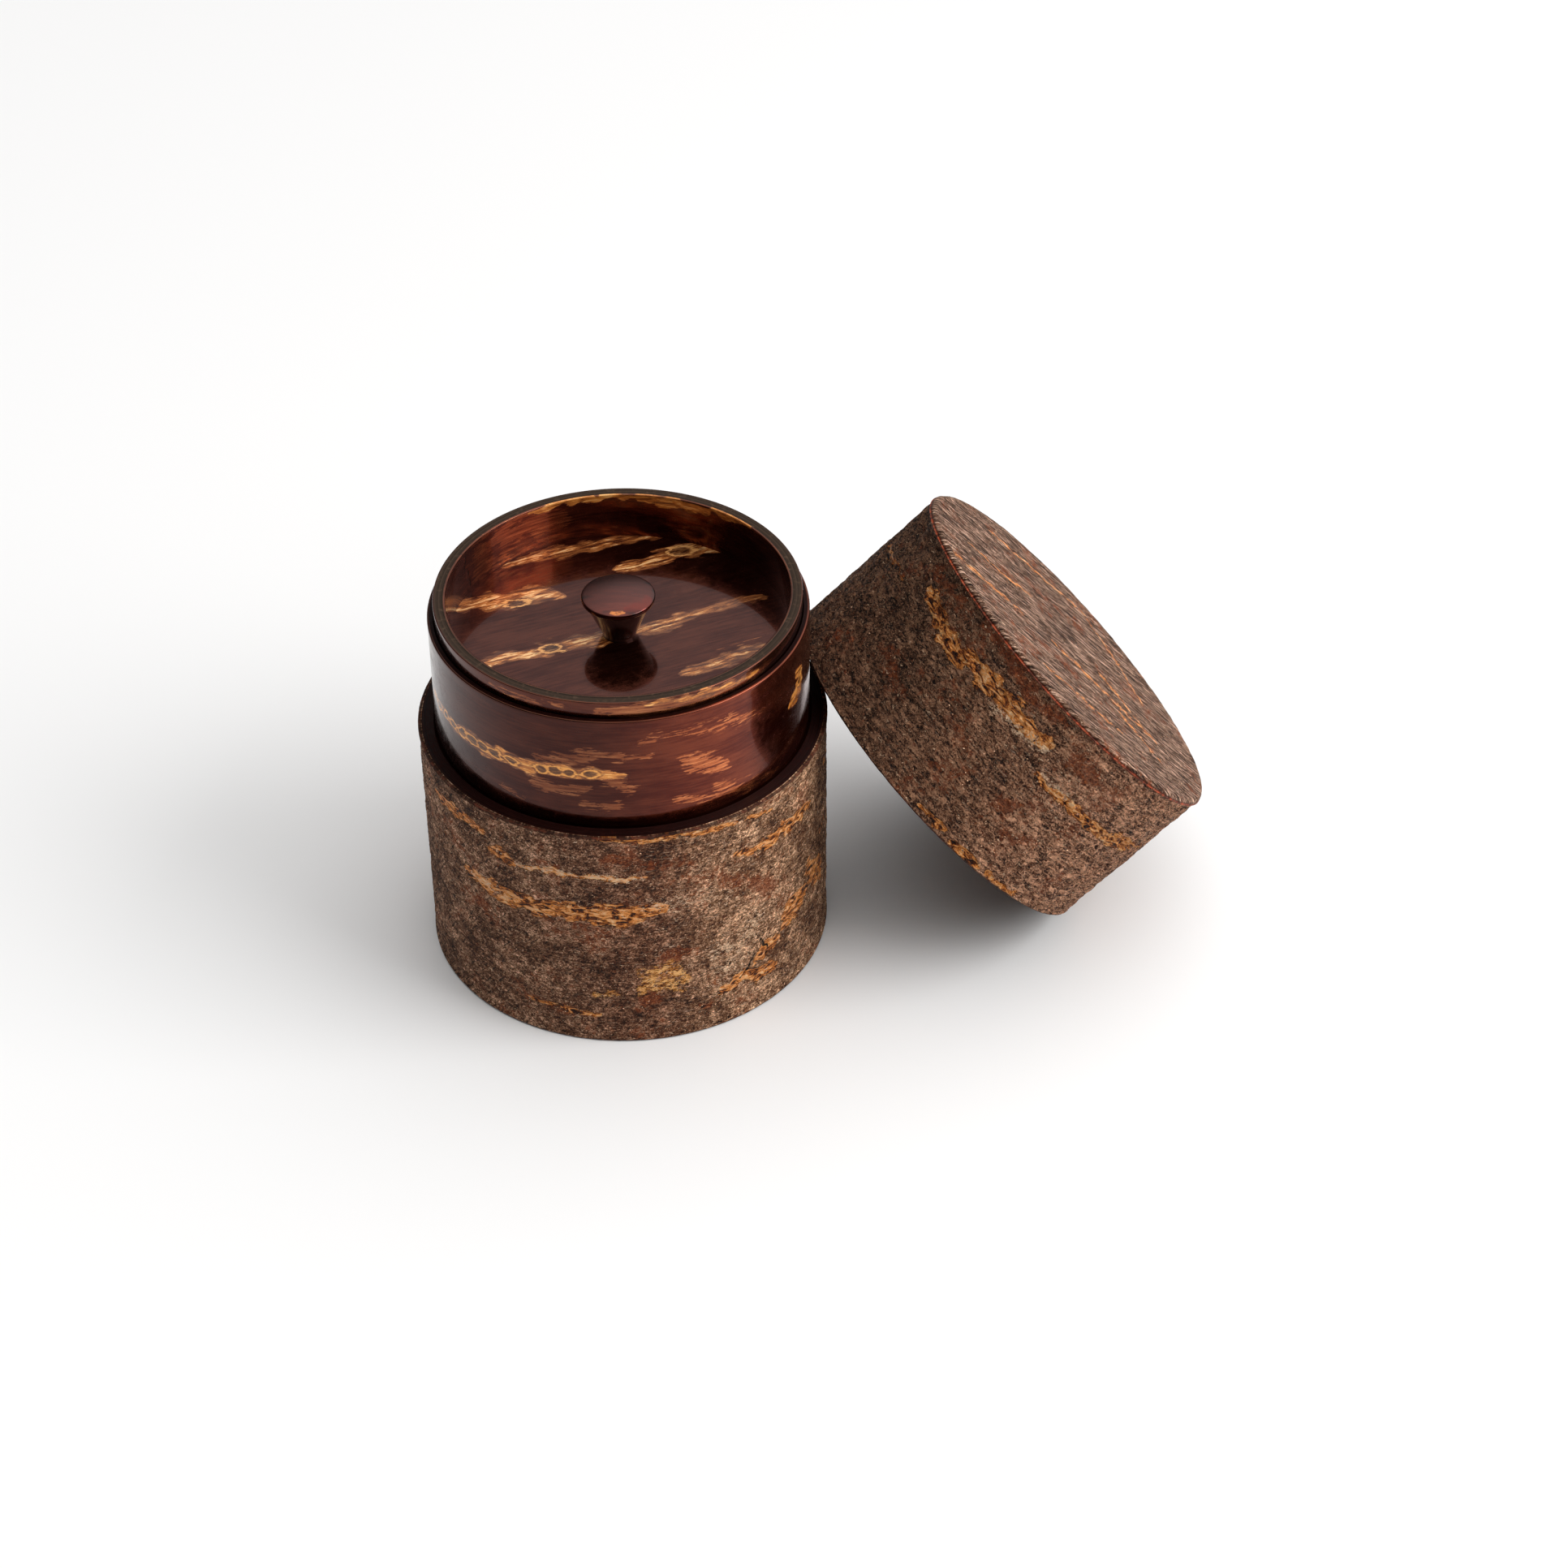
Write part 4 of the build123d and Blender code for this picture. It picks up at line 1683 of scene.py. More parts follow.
@dataclass
class Canister:
    """The body with its rough bark, the laminated rim and the polished neck."""

    wall: float = 0.8
    foot_break: float = 0.5
    rim_break: float = 0.45
    lip_round: float = 0.3
    step: float = 0.46
    neck_step: float = 0.4
    fade: float = 0.9
    neck_fade: float = 2.0
    foot_worn: Point = (0.15, 0.2)
    hidden_neck: float = 1.5

    CRUMBS = CrumbField("body_bark_crumbs", 1.5, 0.24, 17)
    NECK_RELIEF = Relief(
        0.05, 202, ((9.0, 6.0), (3.5, 2.2), (24.0, 12.0)), (0.35, 0.15, 0.5), lenticel=0.0, crack=0.0
    )
    RIDGES = 8
    RIDGE_WIDTH = 0.10
    RIDGE_SEED = 3

    BODY_MARKS = [
        Mark(Kind.AMBER, ((-153.3, 47.7), (-143.6, 48.4), (-136.2, 48.3), (-129.9, 48.2)), 1.5),
        Mark(Kind.AMBER, ((-129.3, 44.2), (-123.7, 44.2), (-119.4, 42.8)), 1.7, 0.85),
        Mark(
            Kind.AMBER, ((-119.3, 43.5), (-109.5, 43.9), (-100.5, 43.9), (-90.3, 43.7), (-83.2, 43.4)),
            0.8, 0.6,
        ),
        Mark(Kind.PALE, ((-119.3, 43.5), (-109.5, 43.9), (-100.5, 43.9), (-90.3, 43.7), (-83.2, 43.4)), 1.5),
        Mark(
            Kind.AMBER,
            ((-138.1, 34.3), (-130.5, 34.0), (-122.9, 33.3), (-115.1, 33.5), (-105.6, 34.1), (-95.2, 33.9),
             (-87.9, 34.3), (-80.6, 34.8), (-76.9, 35.1)),
            2.7,
        ),
        Mark(Kind.AMBER, ((-110.0, 33.7), (-100.0, 33.8), (-90.0, 34.1), (-80.6, 34.8)), 1.5),
        Mark(Kind.PALE, ((-136.1, 34.3), (-130.5, 34.2), (-122.9, 33.6)), 1.4),
        Mark(Kind.AMBER, ((-95.5, 53.6), (-87, 53.4), (-75.5, 53.0), (-61, 52.4), (-42.7, 50.8)), 0.6, 0.55),
        Mark(
            Kind.AMBER, ((-57, 44.1), (-46.9, 42.3), (-39.4, 43.1), (-31.8, 42.9), (-23.8, 42.8)),
            1.7, 0.95,
        ),
        Mark(Kind.RUST, ((-57, 44.1), (-46.9, 42.3), (-31.8, 42.9)), 2.4, 0.6),
        Mark(Kind.AMBER, ((-38.5, 17.8), (-33.4, 20.2), (-27.4, 22.0)), 3.3),
        Mark(Kind.AMBER, ((-25.6, 27.5), (-20.0, 22.5), (-14.1, 18.0)), 3.3, 0.9),
        Mark(Kind.GOLD, ((-85.4, 13.2), (-81.8, 17.4), (-76.7, 19.0), (-71.8, 15.1)), 3.2),
        Mark(Kind.GOLD, ((-81.0, 14.5), (-77.0, 15.5), (-74.0, 12.6)), 3.2, 0.9),
        Mark(Kind.GOLD, ((-97.3, 12.7), (-93.8, 13.0), (-90.8, 13.2)), 1.4, 0.9),
        Mark(Kind.AMBER, ((-62.1, 8.7), (-55.1, 10.6), (-48.5, 9.4), (-42.1, 8.6)), 2.0, 0.95),
        Mark(Kind.AMBER, ((-50.3, 12.6), (-45.0, 15.3), (-41.0, 15.8)), 1.8),
        Mark(Kind.RUST, ((-84.0, 10.0), (-81.0, 11.0)), 2.8),
        Mark(Kind.RUST, ((-68.2, 6.5), (-65.5, 6.6)), 1.2),
        Mark(Kind.CRACK, ((-66.9, 6.5), (-66.4, 6.6)), 0.7),
        Mark(Kind.CRACK, ((-49.3, 20.6), (-47.0, 17.5), (-45.3, 15.3), (-45.3, 13.1)), 0.5),
        Mark(Kind.CRACK, ((-50.3, 15.3), (-53.2, 12.1), (-56.9, 9.8)), 0.5),
        Mark(Kind.PALE, ((-65.9, 20.7), (-61.0, 21.0), (-57.5, 20.2)), 3.6),
        Mark(Kind.PALE, ((-60.0, 14.0), (-50.0, 24.0)), 5.5, 0.8),
        Mark(Kind.PALE, ((-80.0, 36.0), (-60.0, 34.0)), 3.6, 0.6),
        Mark(Kind.RUST, ((-61.3, 39.2), (-52.0, 35.0), (-43, 30.7)), 3.4, 0.7),
        Mark(Kind.RUST, ((-77.1, 22.7), (-74.1, 23.2)), 3.0, 0.8),
        Mark(Kind.RUST, ((-135.0, 29.0), (-128.0, 25.0)), 2.6, 0.55),
        Mark(Kind.RUST, ((-92.0, 48.0), (-70.0, 46.0)), 2.8, 0.5),
        Mark(Kind.RUST, ((-120.0, 9.0), (-104.0, 7.0)), 2.6, 0.5),
        Mark(Kind.AMBER, ((-118.0, 8.5), (-106.0, 7.6), (-96.0, 7.0)), 0.8, 0.5),
    ]
    NECK_MARKS = [
        Mark(
            Kind.AMBER,
            ((-166, 66.0), (-153.3, 66.1), (-147.8, 65.9), (-139, 66.2), (-129.7, 66.2), (-122.6, 66.4),
             (-115.2, 66.6), (-108.4, 66.9), (-101.8, 67.1), (-94, 67.1), (-87.0, 67.2)),
            2.1,
        ),
        *eyes([(-158.5, 66.1), (-153.2, 66.1), (-148.3, 66.0), (-143.2, 66.1)], 0.95, 1.7, 8),
        *eyes([(-138.2, 66.2), (-133.4, 66.3), (-128.6, 66.2)], 1.05, 1.8, -8),
        *eyes([(-122.0, 66.3), (-112.0, 66.6), (-107.6, 66.9), (-103.6, 67.1), (-97.0, 67.1)], 0.85, 1.8),
        Mark(Kind.COPPER, ((-82, 74.9), (-77.7, 74.8)), 0.8),
        Mark(Kind.COPPER, ((-104.8, 70.7), (-98.4, 71.1)), 0.9),
        Mark(Kind.COPPER, ((-86.0, 71.2), (-79.0, 71.3)), 0.8),
        Mark(Kind.COPPER, ((-114.1, 69.6), (-104.8, 70.4), (-95.0, 71.2)), 2.1, 0.8),
        Mark(Kind.COPPER, ((-99.9, 72.0), (-87.6, 71.3)), 1.9, 0.75),
        Mark(Kind.COPPER, ((-116.0, 62.3), (-108.0, 62.6), (-98.0, 63.4)), 2.4, 0.85),
        Mark(Kind.COPPER, ((-92.4, 66.2), (-86.3, 64.0)), 2.5, 0.8),
        Mark(Kind.COPPER, ((-70, 69.0), (-62.0, 66.5), (-54.9, 63.3)), 3.4, 0.85),
        Mark(Kind.COPPER, ((-58.9, 60.2), (-52.0, 57.0), (-46.0, 55.3)), 3.2, 0.7),
        Mark(Kind.COPPER, ((-99.6, 59.5), (-89.3, 59.2)), 1.3, 0.8),
        Mark(Kind.COPPER, ((-126.0, 59.0), (-119.0, 58.0)), 1.5, 0.6),
        Mark(Kind.COPPER, ((-72.8, 59.6), (-54.3, 57.1), (-33.4, 55.1)), 2.2, 0.6),
        Mark(Kind.COPPER, ((-80.0, 76.0), (-55.0, 74.5), (-40.0, 73.0)), 2.6, 0.45),
        Mark(Kind.AMBER, ((-22.0, 73.6), (-19.0, 71.4), (-20.5, 68.6), (-26.9, 67.4)), 2.3),
        *eyes([(-19.6, 70.9)], 0.8, 1.6, 70),
    ]

    def build(self, looks: "Looks") -> None:
        """Makes and dresses the canister's pieces.

        Args:
            looks: the finishes.
        """
        self.body_sheet(looks)
        self.neck_sheet(looks)
        self.edges(looks)
        for node, finish in (
            ("body_outer_ply", looks.rim), ("body_inner_ply", looks.rim), ("base_bark", looks.base),
            ("base_board", looks.board), ("floor_lining", looks.lining), ("neck_core", looks.rim),
            ("neck_liner", looks.liner),
        ):
            dress(looks.nodes[node], finish)

    @staticmethod
    def far_body_marks() -> list[Mark]:
        """Marks on the far side of the body."""
        marks = wild_bands(11, 7, (15, 165), (6, 50)) + wild_bands(12, 3, (-10, 20), (10, 48))
        for a, z in ((40, 20), (100, 38), (150, 12)):
            marks.append(Mark(Kind.RUST, ((a, z), (a + 8, z - 2)), 3.4, 0.8))
        marks.append(Mark(Kind.GOLD, ((120, 22), (126, 25)), 2.6))
        marks.append(Mark(Kind.PALE, ((60, 30), (80, 34)), 4.0, 0.8))
        return marks

    @staticmethod
    def far_neck_marks() -> list[Mark]:
        """Marks on the far side of the neck."""
        marks = wild_bands(21, 4, (20, 160), (58, 76), half=1.1)
        rng = np.random.default_rng(22)
        for a, z in zip(rng.uniform(-8, 180, 16), rng.uniform(56, 78, 16)):
            end = (a + rng.uniform(6, 16), z + rng.uniform(-1.5, 1.5))
            marks.append(Mark(Kind.COPPER, ((a, z), end), rng.uniform(0.8, 2.6), 0.7))
        return marks

    def body_sheet(self, looks: "Looks") -> None:
        """The rough bark round the body, with its crumbs.

        Args:
            looks: the finishes.
        """
        r, low, high = upright("body_bark")
        inner = r - self.wall
        rim = high - self.rim_break
        rows = worn_foot(r, low, inner, self.foot_break, self.foot_worn)
        rows += run(r, low + self.foot_break, rim, round((high - low) / self.step), self.fade)
        rows += arc((r - self.rim_break, rim), self.rim_break, 0, 90, 3, 0.3)
        rows += [Row(inner, high)]
        marks = MarkMap(self.BODY_MARKS + self.far_body_marks(), Lay.WRAPPED, r, 101)
        sheet = Turning("body_bark_sheet", rows, marks, columns=574, seam=96.0)
        piece = sheet.build(Relief(0.50, 201))
        form = Envelope(Matrix.Identity(4), r, low, high)
        fit_rough(piece, "canister", "body_bark", looks.body_bark, self.CRUMBS, form, looks)

    def neck_sheet(self, looks: "Looks") -> None:
        """The polished bark round the neck.

        Args:
            looks: the finishes.
        """
        r, low, high = upright("neck_bark")
        inner = upright("neck_core")[0]
        shoulder = upright("body_bark")[2] - self.hidden_neck
        top = high - self.lip_round
        rows = [Row(inner, low), Row(r, low)]
        rows += run(r, shoulder, top, round((top - shoulder) / self.neck_step), self.neck_fade)
        rows += arc((r - self.lip_round, top), self.lip_round, 0, 90, 3, 0.05)
        rows += [Row(inner, high)]
        marks = MarkMap(self.NECK_MARKS + self.far_neck_marks(), Lay.WRAPPED, r, 102, 0.9)
        sheet = Turning("neck_bark_sheet", rows, marks, columns=640, seam=100.0)
        piece = sheet.build(self.NECK_RELIEF)
        dress(piece, looks.neck_bark)
        fit(piece, "canister", "polished_bark", "neck_bark")

    def edges(self, looks: "Looks") -> None:
        """The veneers' ends that show on the rim.

        Args:
            looks: the finishes.
        """
        outer, _, level = upright("body_outer_ply")
        inner = upright("neck_bark")[0]
        values = {
            "Inner radius": (inner + 0.35) * MM,
            "Outer radius": (outer - 0.1) * MM,
            "Level": (level - 0.06) * MM,
            "Ridges": self.RIDGES,
            "Ridge width": self.RIDGE_WIDTH * MM,
            "Seed": self.RIDGE_SEED,
            "Finish": looks.rim,
        }
        piece = looks.ridges.run(bpy.data.meshes.new("rim_seed"), "body_rim_veneers", values)
        piece.data.shade_smooth()
        fit(piece, "canister", "rim_veneer")


# ---------------------------------------------------------------- inner lid


@dataclass
class InnerLid:
    """The inner lid: a ring of laminated veneer, a polished face and a turned knob."""

    edge_round: float = 0.2
    step: float = 0.42
    knob_crown: float = 0.9
    knob_lip: float = 1.3
    knob_lip_round: float = 0.3
    knob_lip_inset: float = 0.7
    knob_base_r: float = 3.45
    knob_foot: float = 0.5
    spigot_r: float = 2.3
    spigot_break: float = 0.2
    fade: float = 2.0
    inner_wall: float = 0.4

    SMOOTH = ((7.0, 5.0), (3.0, 2.2), (20.0, 9.0))
    VENEER_RELIEF = Relief(0.10, 204, ((1.2, 1.2), (4.0, 4.0), (12.0, 12.0)))
    FACE_RELIEF = Relief(0.035, 206, ((14.0, 9.0), (5.0, 3.5), (30.0, 20.0)), (0.3, 0.1, 0.6), lenticel=0.0)
    KNOB_RELIEF = Relief(0.03, 207, ((2.5, 2.5), (6.0, 6.0), (9.0, 9.0)), lenticel=0.0)
    KNOB_MARKS = [
        Mark(Kind.COPPER, ((0.0, 0.0),), 11.0),
        Mark(Kind.AMBER, ((-1.6, -6.6), (0.2, -6.2), (2.0, -6.0)), 0.9),
        # Places the painted reddish glow on the knob's right side.
        Mark(Kind.RUST, ((2.0, -5.6), (4.4, -4.6), (6.5, -1.5)), 2.2),
    ]

    OUTER_MARKS = [
        Mark(Kind.AMBER, ((-79.4, 83.0), (-69.0, 82.6), (-55.0, 82.2), (-40, 81.9)), 1.2, 0.42),
        Mark(Kind.COPPER, ((-95.0, 81.5), (-70.0, 81.6), (-35.0, 81.6)), 2.6, 1.0),
        Mark(Kind.COPPER, ((-130.0, 82.0), (-105.0, 82.0)), 1.2, 0.5),
    ]
    INNER_MARKS = [
        Mark(
            Kind.AMBER,
            ((123.8, 82.7), (112.0, 83.1), (100.0, 83.2), (88.0, 83.2), (78.0, 83.2), (62.0, 82.9),
             (41, 83.1)),
            1.1,
        ),
        Mark(Kind.AMBER, ((79.0, 82.3), (68.0, 81.7), (58.0, 82.5)), 1.2, 0.85),
        Mark(Kind.COPPER, ((142.7, 80.5), (124.3, 80.1), (108.9, 78.9)), 3.6, 1.0),
        Mark(Kind.COPPER, ((149, 78.7), (145.3, 80.8)), 3.6, 1.0),
        Mark(Kind.COPPER, ((151, 76.0), (135.0, 75.5)), 2.4, 0.8),
        Mark(Kind.PALE, ((110.0, 81.0), (92.0, 81.5)), 1.6),
        Mark(Kind.CRACK, ((158.3, 87.6), (156.6, 81.5), (154.2, 74.4)), 0.35, tapered=False),
    ]
    FACE_MARKS = [
        Mark(Kind.AMBER, ((-33.9, 8.8), (-28.6, 10.9), (-23.5, 11.2), (-17.3, 14.0), (-12.7, 13.2)), 3.4),
        *eyes([(-21.6, 10.6)], 1.35, 1.8, 10),
        Mark(
            Kind.AMBER,
            ((-29.6, -11.0), (-22.4, -8.3), (-16.3, -6.3), (-9.8, -3.6), (-4.8, -2.6), (0.5, -0.8)),
            2.9,
        ),
        *eyes([(-13.4, -5.2)], 1.45, 1.6, 12),
        Mark(Kind.AMBER, ((3.3, 0.3), (8.4, 2.6), (12.5, 4.7), (18.8, 8.2)), 2.4, 0.74),
        Mark(Kind.AMBER, ((14.5, 6.0), (18.8, 8.2), (25.1, 11.0), (29.3, 12.4)), 2.0, 0.34),
        Mark(
            Kind.AMBER,
            ((-25, 24.0), (-18, 27), (-14.6, 28.4), (-9.5, 29.9), (-2.7, 32.1), (1.2, 33.2), (6.8, 33.9)),
            2.8, 0.70,
        ),
        Mark(
            Kind.AMBER, ((-1.0, 22.4), (2.7, 24.1), (7.8, 26.3), (11.2, 28.7), (16.4, 29.2), (21.5, 29.6)),
            3.0,
        ),
        *eyes([(11.6, 28.6)], 1.5, 1.8, 8),
        Mark(Kind.AMBER, ((13.0, -13.7), (20.2, -10.4), (23.1, -8.2), (26.8, -6.1), (29.3, -4.6)), 2.5, 0.68),
        Mark(Kind.COPPER, ((20.0, -6.0), (30.0, -1.0)), 1.2, 0.3),
    ]

    def build(self, looks: "Looks") -> None:
        """Makes and dresses the inner lid's pieces.

        Args:
            looks: the finishes.
        """
        self.ring_outer(looks)
        self.ring_core(looks)
        self.ring_inner(looks)
        self.face(looks)
        self.knob(looks)
        dress(looks.nodes["inner_lid_board"], looks.board)
        dress(looks.nodes["inner_lid_under_bark"], looks.lining)

    def ring_outer(self, looks: "Looks") -> None:
        """The ring's outer bark.

        Args:
            looks: the finishes.
        """
        r, low, high = upright("ring_outer_bark")
        core_r = upright("ring_core")[0]
        top = high - self.edge_round
        rows = [Row(core_r, low), Row(r, low)]
        rows += run(r, low + 0.3, top, round((top - low) / self.step), self.fade)
        rows += arc((r - self.edge_round, top), self.edge_round, 0, 90, 3, 0.05) + [Row(core_r, high)]
        marks = MarkMap(self.OUTER_MARKS, Lay.WRAPPED, r, 103)
        sheet = Turning("ring_outer_sheet", rows, marks, columns=560, seam=80.0)
        piece = sheet.build(Relief(0.04, 203, self.SMOOTH, lenticel=0.0))
        dress(piece, looks.ring_bark)
        fit(piece, "inner_lid", "polished_bark", "ring_outer_bark")

    def ring_core(self, looks: "Looks") -> None:
        """The ring's veneer core, with the veneers' ends on its edge.

        Args:
            looks: the finishes.
        """
        core_r, low, high = upright("ring_core")
        inner_r = upright("ring_inner_bark")[0]
        rows = [Row(inner_r, low), Row(core_r, low), Row(core_r, high)]
        lines = np.linspace(core_r, inner_r, 15)[1:-1]
        rows += [Row(float(x), high - (0.05 if k % 2 else 0.0), 0.3) for k, x in enumerate(lines)]
        rows += [Row(inner_r, high)]
        core = Turning("ring_edge_core", rows, MarkMap([], Lay.FLAT, core_r, 104), columns=420)
        piece = core.build(self.VENEER_RELIEF)
        dress(piece, looks.ring_edge)
        fit(piece, "inner_lid", "ring_veneer", "ring_core")

    def ring_inner(self, looks: "Looks") -> None:
        """The ring's inner bark.

        Args:
            looks: the finishes.
        """
        r, low, high = upright("ring_inner_bark")
        bore = r - self.inner_wall
        top = high - self.edge_round
        wall = run(bore, low, top, round((high - low) / self.step), self.fade)
        edge = arc((bore + self.edge_round, top), self.edge_round, 180, 90, 3, 0.05)
        rows = [Row(r, high)] + list(reversed(edge)) + list(reversed(wall)) + [Row(r, low)]
        marks = MarkMap(self.INNER_MARKS, Lay.WRAPPED, bore, 105)
        sheet = Turning("ring_inner_sheet", rows, marks, columns=560, seam=156.4)
        piece = sheet.build(Relief(0.06, 205, self.SMOOTH, lenticel=0.0, crack=0.1))
        dress(piece, looks.ring_inner)
        fit(piece, "inner_lid", "polished_bark", "ring_inner_bark")

    def face(self, looks: "Looks") -> None:
        """The polished sheet across the inner lid.

        Args:
            looks: the finishes.
        """
        r, low, high = upright("inner_lid_top_bark")
        edge = 0.05
        rows = [Row(0.0, low), Row(r, low), Row(r, high - edge), Row(r - edge, high, 0.1)]
        rows += across(r, high, self.step)
        marks = MarkMap(self.FACE_MARKS, Lay.FLAT, r, 106, 0.7)
        sheet = Turning("lid_face_sheet", rows, marks, columns=420, pole_to_pole=True)
        piece = sheet.build(self.FACE_RELIEF)
        dress(piece, looks.lid_face)
        fit(piece, "inner_lid", "polished_bark", "inner_lid_top_bark")

    def knob(self, looks: "Looks") -> None:
        """The turned knob with its spigot.

        Args:
            looks: the finishes.
        """
        r, _, high = upright("knob")
        edge_z = high - self.knob_crown
        turned = Turning(
            "turned_knob", self.knob_rows(), MarkMap(self.KNOB_MARKS, Lay.FLAT, r, 107), columns=160,
            pole_to_pole=True, lowest_mark=edge_z - self.knob_lip * 0.5,
        )
        piece = turned.build(self.KNOB_RELIEF)
        dress(piece, looks.knob)
        fit(piece, "inner_lid", "knob_lacquer", "knob")

    def knob_rows(self) -> list[Row]:
        """The knob's section: spigot, foot, cone, lip and crown.

        Returns:
            The rows, from its lowest point to the top of its crown.
        """
        r, low, high = upright("knob")
        face = upright("inner_lid_top_bark")[2]
        spigot, foot = self.spigot_r, self.knob_base_r
        edge_r, edge_z = r - self.knob_lip_round, high - self.knob_crown
        crown_r = (edge_r**2 + self.knob_crown**2) / (2 * self.knob_crown)
        cone_r, cone_z = r - self.knob_lip_inset, edge_z - self.knob_lip
        foot_z = face + self.knob_foot
        rows = [Row(0.0, low), Row(spigot - self.spigot_break, low), Row(spigot, low + self.spigot_break)]
        rows += [Row(spigot, face), Row(foot, face), Row(foot, foot_z)]
        for k in range(1, 13):
            t = k / 12
            rows.append(Row(foot + (cone_r - foot) * t, foot_z + (cone_z - foot_z) * t, 0.4))
        lip = [
            (r - 0.22, cone_z + 0.10), (r - 0.05, cone_z + 0.36), (r, edge_z - self.knob_lip * 0.4),
            (r - 0.02, edge_z - 0.26), (r - 0.12, edge_z - 0.08), (edge_r, edge_z),
        ]
        rows += [Row(x, z, 0.1) for x, z in lip]
        for k in range(1, 15):
            x = edge_r * (1 - k / 15)
            rows.append(Row(x, high - crown_r + math.sqrt(crown_r**2 - x**2), 0.3))
        rows.append(Row(0.0, high, 0.3))
        return rows


# ---------------------------------------------------------------- cap


@dataclass
class Cap:
    """The deep cap that leans on the canister: rough bark side and top over laminated plies."""

    place: Matrix
    radius: float
    side_high: float = 36.6
    top_low: float = 37.2
    top_high: float = 38.0
    wall: float = 0.8
    wrap_inset: float = 0.08
    foot_break: float = 0.4
    shoulder: float = 1.4
    step: float = 0.46
    fade: float = 0.7
    foot_worn: Point = (0.12, 0.16)

    BOARD_MIDDLE = 35.2
    # Painted light: the angle of the cap's side that is painted lit.
    PAINTED_LIGHT_SIDE = 215.0
    SIDE_CRUMBS = CrumbField("cap_side_crumbs", 1.1, 0.24, 19)
    TOP_CRUMBS = CrumbField("cap_top_crumbs", 0.9, 0.22, 23)
    TOP_RELIEF = Relief(0.34, 209, ((0.7, 1.6), (1.3, 5.0), (4.0, 9.0)), (0.5, 0.34, 0.16))

    SIDE_MARKS = [
        Mark(
            Kind.AMBER,
            ((100.0, 30.4), (103.9, 29.6), (112.7, 27.9), (121.7, 27.8), (130, 29), (138.6, 29.6),
             (146.7, 28.8), (153.2, 29), (158.4, 29.4)),
            2.1,
        ),
        Mark(Kind.AMBER, ((132.0, 29.2), (140.0, 29.5), (148.0, 28.9), (156.0, 29.2)), 1.7),
        Mark(Kind.RUST, ((104.0, 30.0), (114.0, 28.4), (124.0, 28.5)), 2.6, 0.9),
        Mark(Kind.PALE, ((138.0, 26.5), (150.0, 27.0), (160.0, 28.8)), 1.9),
        Mark(
            Kind.AMBER,
            ((162.3, 23.4), (173.8, 23.2), (181.3, 23.1), (194.5, 22.6), (207.5, 22.3), (222.0, 23)),
            1.25, 0.9,
        ),
        Mark(Kind.AMBER, ((188.0, 22.7), (198.0, 22.5), (212.0, 22.4)), 1.9),
        Mark(Kind.PALE, ((163.0, 24.6), (175.0, 24.3)), 1.2),
        Mark(Kind.AMBER, ((62.8, 24.6), (70.0, 25.2), (78.8, 25.6), (88.9, 26.1)), 0.7, 0.7),
        Mark(Kind.CRACK, ((62.8, 24.2), (78.8, 25.1), (88.9, 25.7)), 0.45),
        Mark(Kind.RUST, ((120.0, 35.2), (132.3, 35.9), (146.8, 33.2), (157.5, 35.5)), 2.6, 0.95),
        Mark(Kind.RUST, ((165.9, 30.5), (174.7, 30.7)), 2.4),
        Mark(Kind.RUST, ((160.6, 15.2), (164.0, 15.0)), 1.9),
        Mark(Kind.RUST, ((171.0, 10.0), (176.0, 12.0)), 2.2, 0.7),
        Mark(Kind.RUST, ((108.0, 16.0), (118.0, 13.0)), 3.4, 0.6),
        Mark(Kind.RUST, ((96.0, 33.0), (110.0, 33.6)), 2.8, 0.6),
        Mark(Kind.AMBER, ((147.0, 1.7), (152.0, 1.9), (157.6, 1.8)), 1.1, 0.9),
        Mark(Kind.AMBER, ((160.3, 1.1), (166.0, 0.9), (172, 0.8)), 1.0, 0.9),
        Mark(Kind.AMBER, ((176.0, 1.0), (188.0, 0.9)), 0.7, 0.7),
    ]
    TOP_MARKS = [
        Mark(Kind.AMBER, ((-2.5, 40.0), (-3.5, 30.0), (-4.0, 18.0)), 1.3, 0.7),
        Mark(
            Kind.AMBER, ((-6.5, 9.5), (-8.2, 3.0), (-10.8, -6.0), (-13.2, -14.0), (-15.5, -22.0)),
            1.0, 0.95,
        ),
        Mark(Kind.AMBER, ((-15.5, -8.8), (-19.8, -13.0), (-25, -18.5)), 0.8, 0.65),
        Mark(Kind.AMBER, ((31.0, 14.0), (30.0, 0.0), (29.0, -19.0)), 0.9, 0.7),
        Mark(Kind.AMBER, ((27, -19), (14.0, -24.0), (0, -26)), 0.8, 0.6),
        Mark(Kind.AMBER, ((-1.3, -9.3), (-6.8, -14.0), (-12.7, -18.2)), 0.8, 0.75),
        Mark(Kind.AMBER, ((12.0, 30.0), (10.0, 18.0), (11.0, 8.0)), 0.7, 0.5),
        Mark(Kind.AMBER, ((-24.0, 20.0), (-26.0, 8.0), (-27.0, -4.0)), 0.8, 0.55),
        Mark(Kind.RUST, ((-12.0, 20.0), (-14.0, 6.0)), 3.0, 0.5),
        Mark(Kind.RUST, ((18.0, 4.0), (16.0, -12.0)), 3.4, 0.55),
    ]

    @classmethod
    def from_frame(cls, frame: dict) -> "Cap":
        """Finds the cap's axis from its joint and its place from its board.

        Args:
            frame: the frame's record, with its joints.

        Returns:
            The cap, in its place.
        """
        joint = next(j for j in frame["joints"] if j["child"] == "cap")
        axis = Vector(joint["axis"]).normalized()
        heading = math.atan2(axis.y, axis.x)
        side = Vector((-math.sin(heading), math.cos(heading), 0.0))
        up = axis.cross(side)
        low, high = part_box("cap_board")
        middle = (low + high) / 2
        origin = middle - axis * cls.BOARD_MIDDLE * MM
        turn = Matrix((side, up, axis)).transposed().to_4x4()
        return cls(Matrix.Translation(origin) @ turn, upright("body_bark")[0])

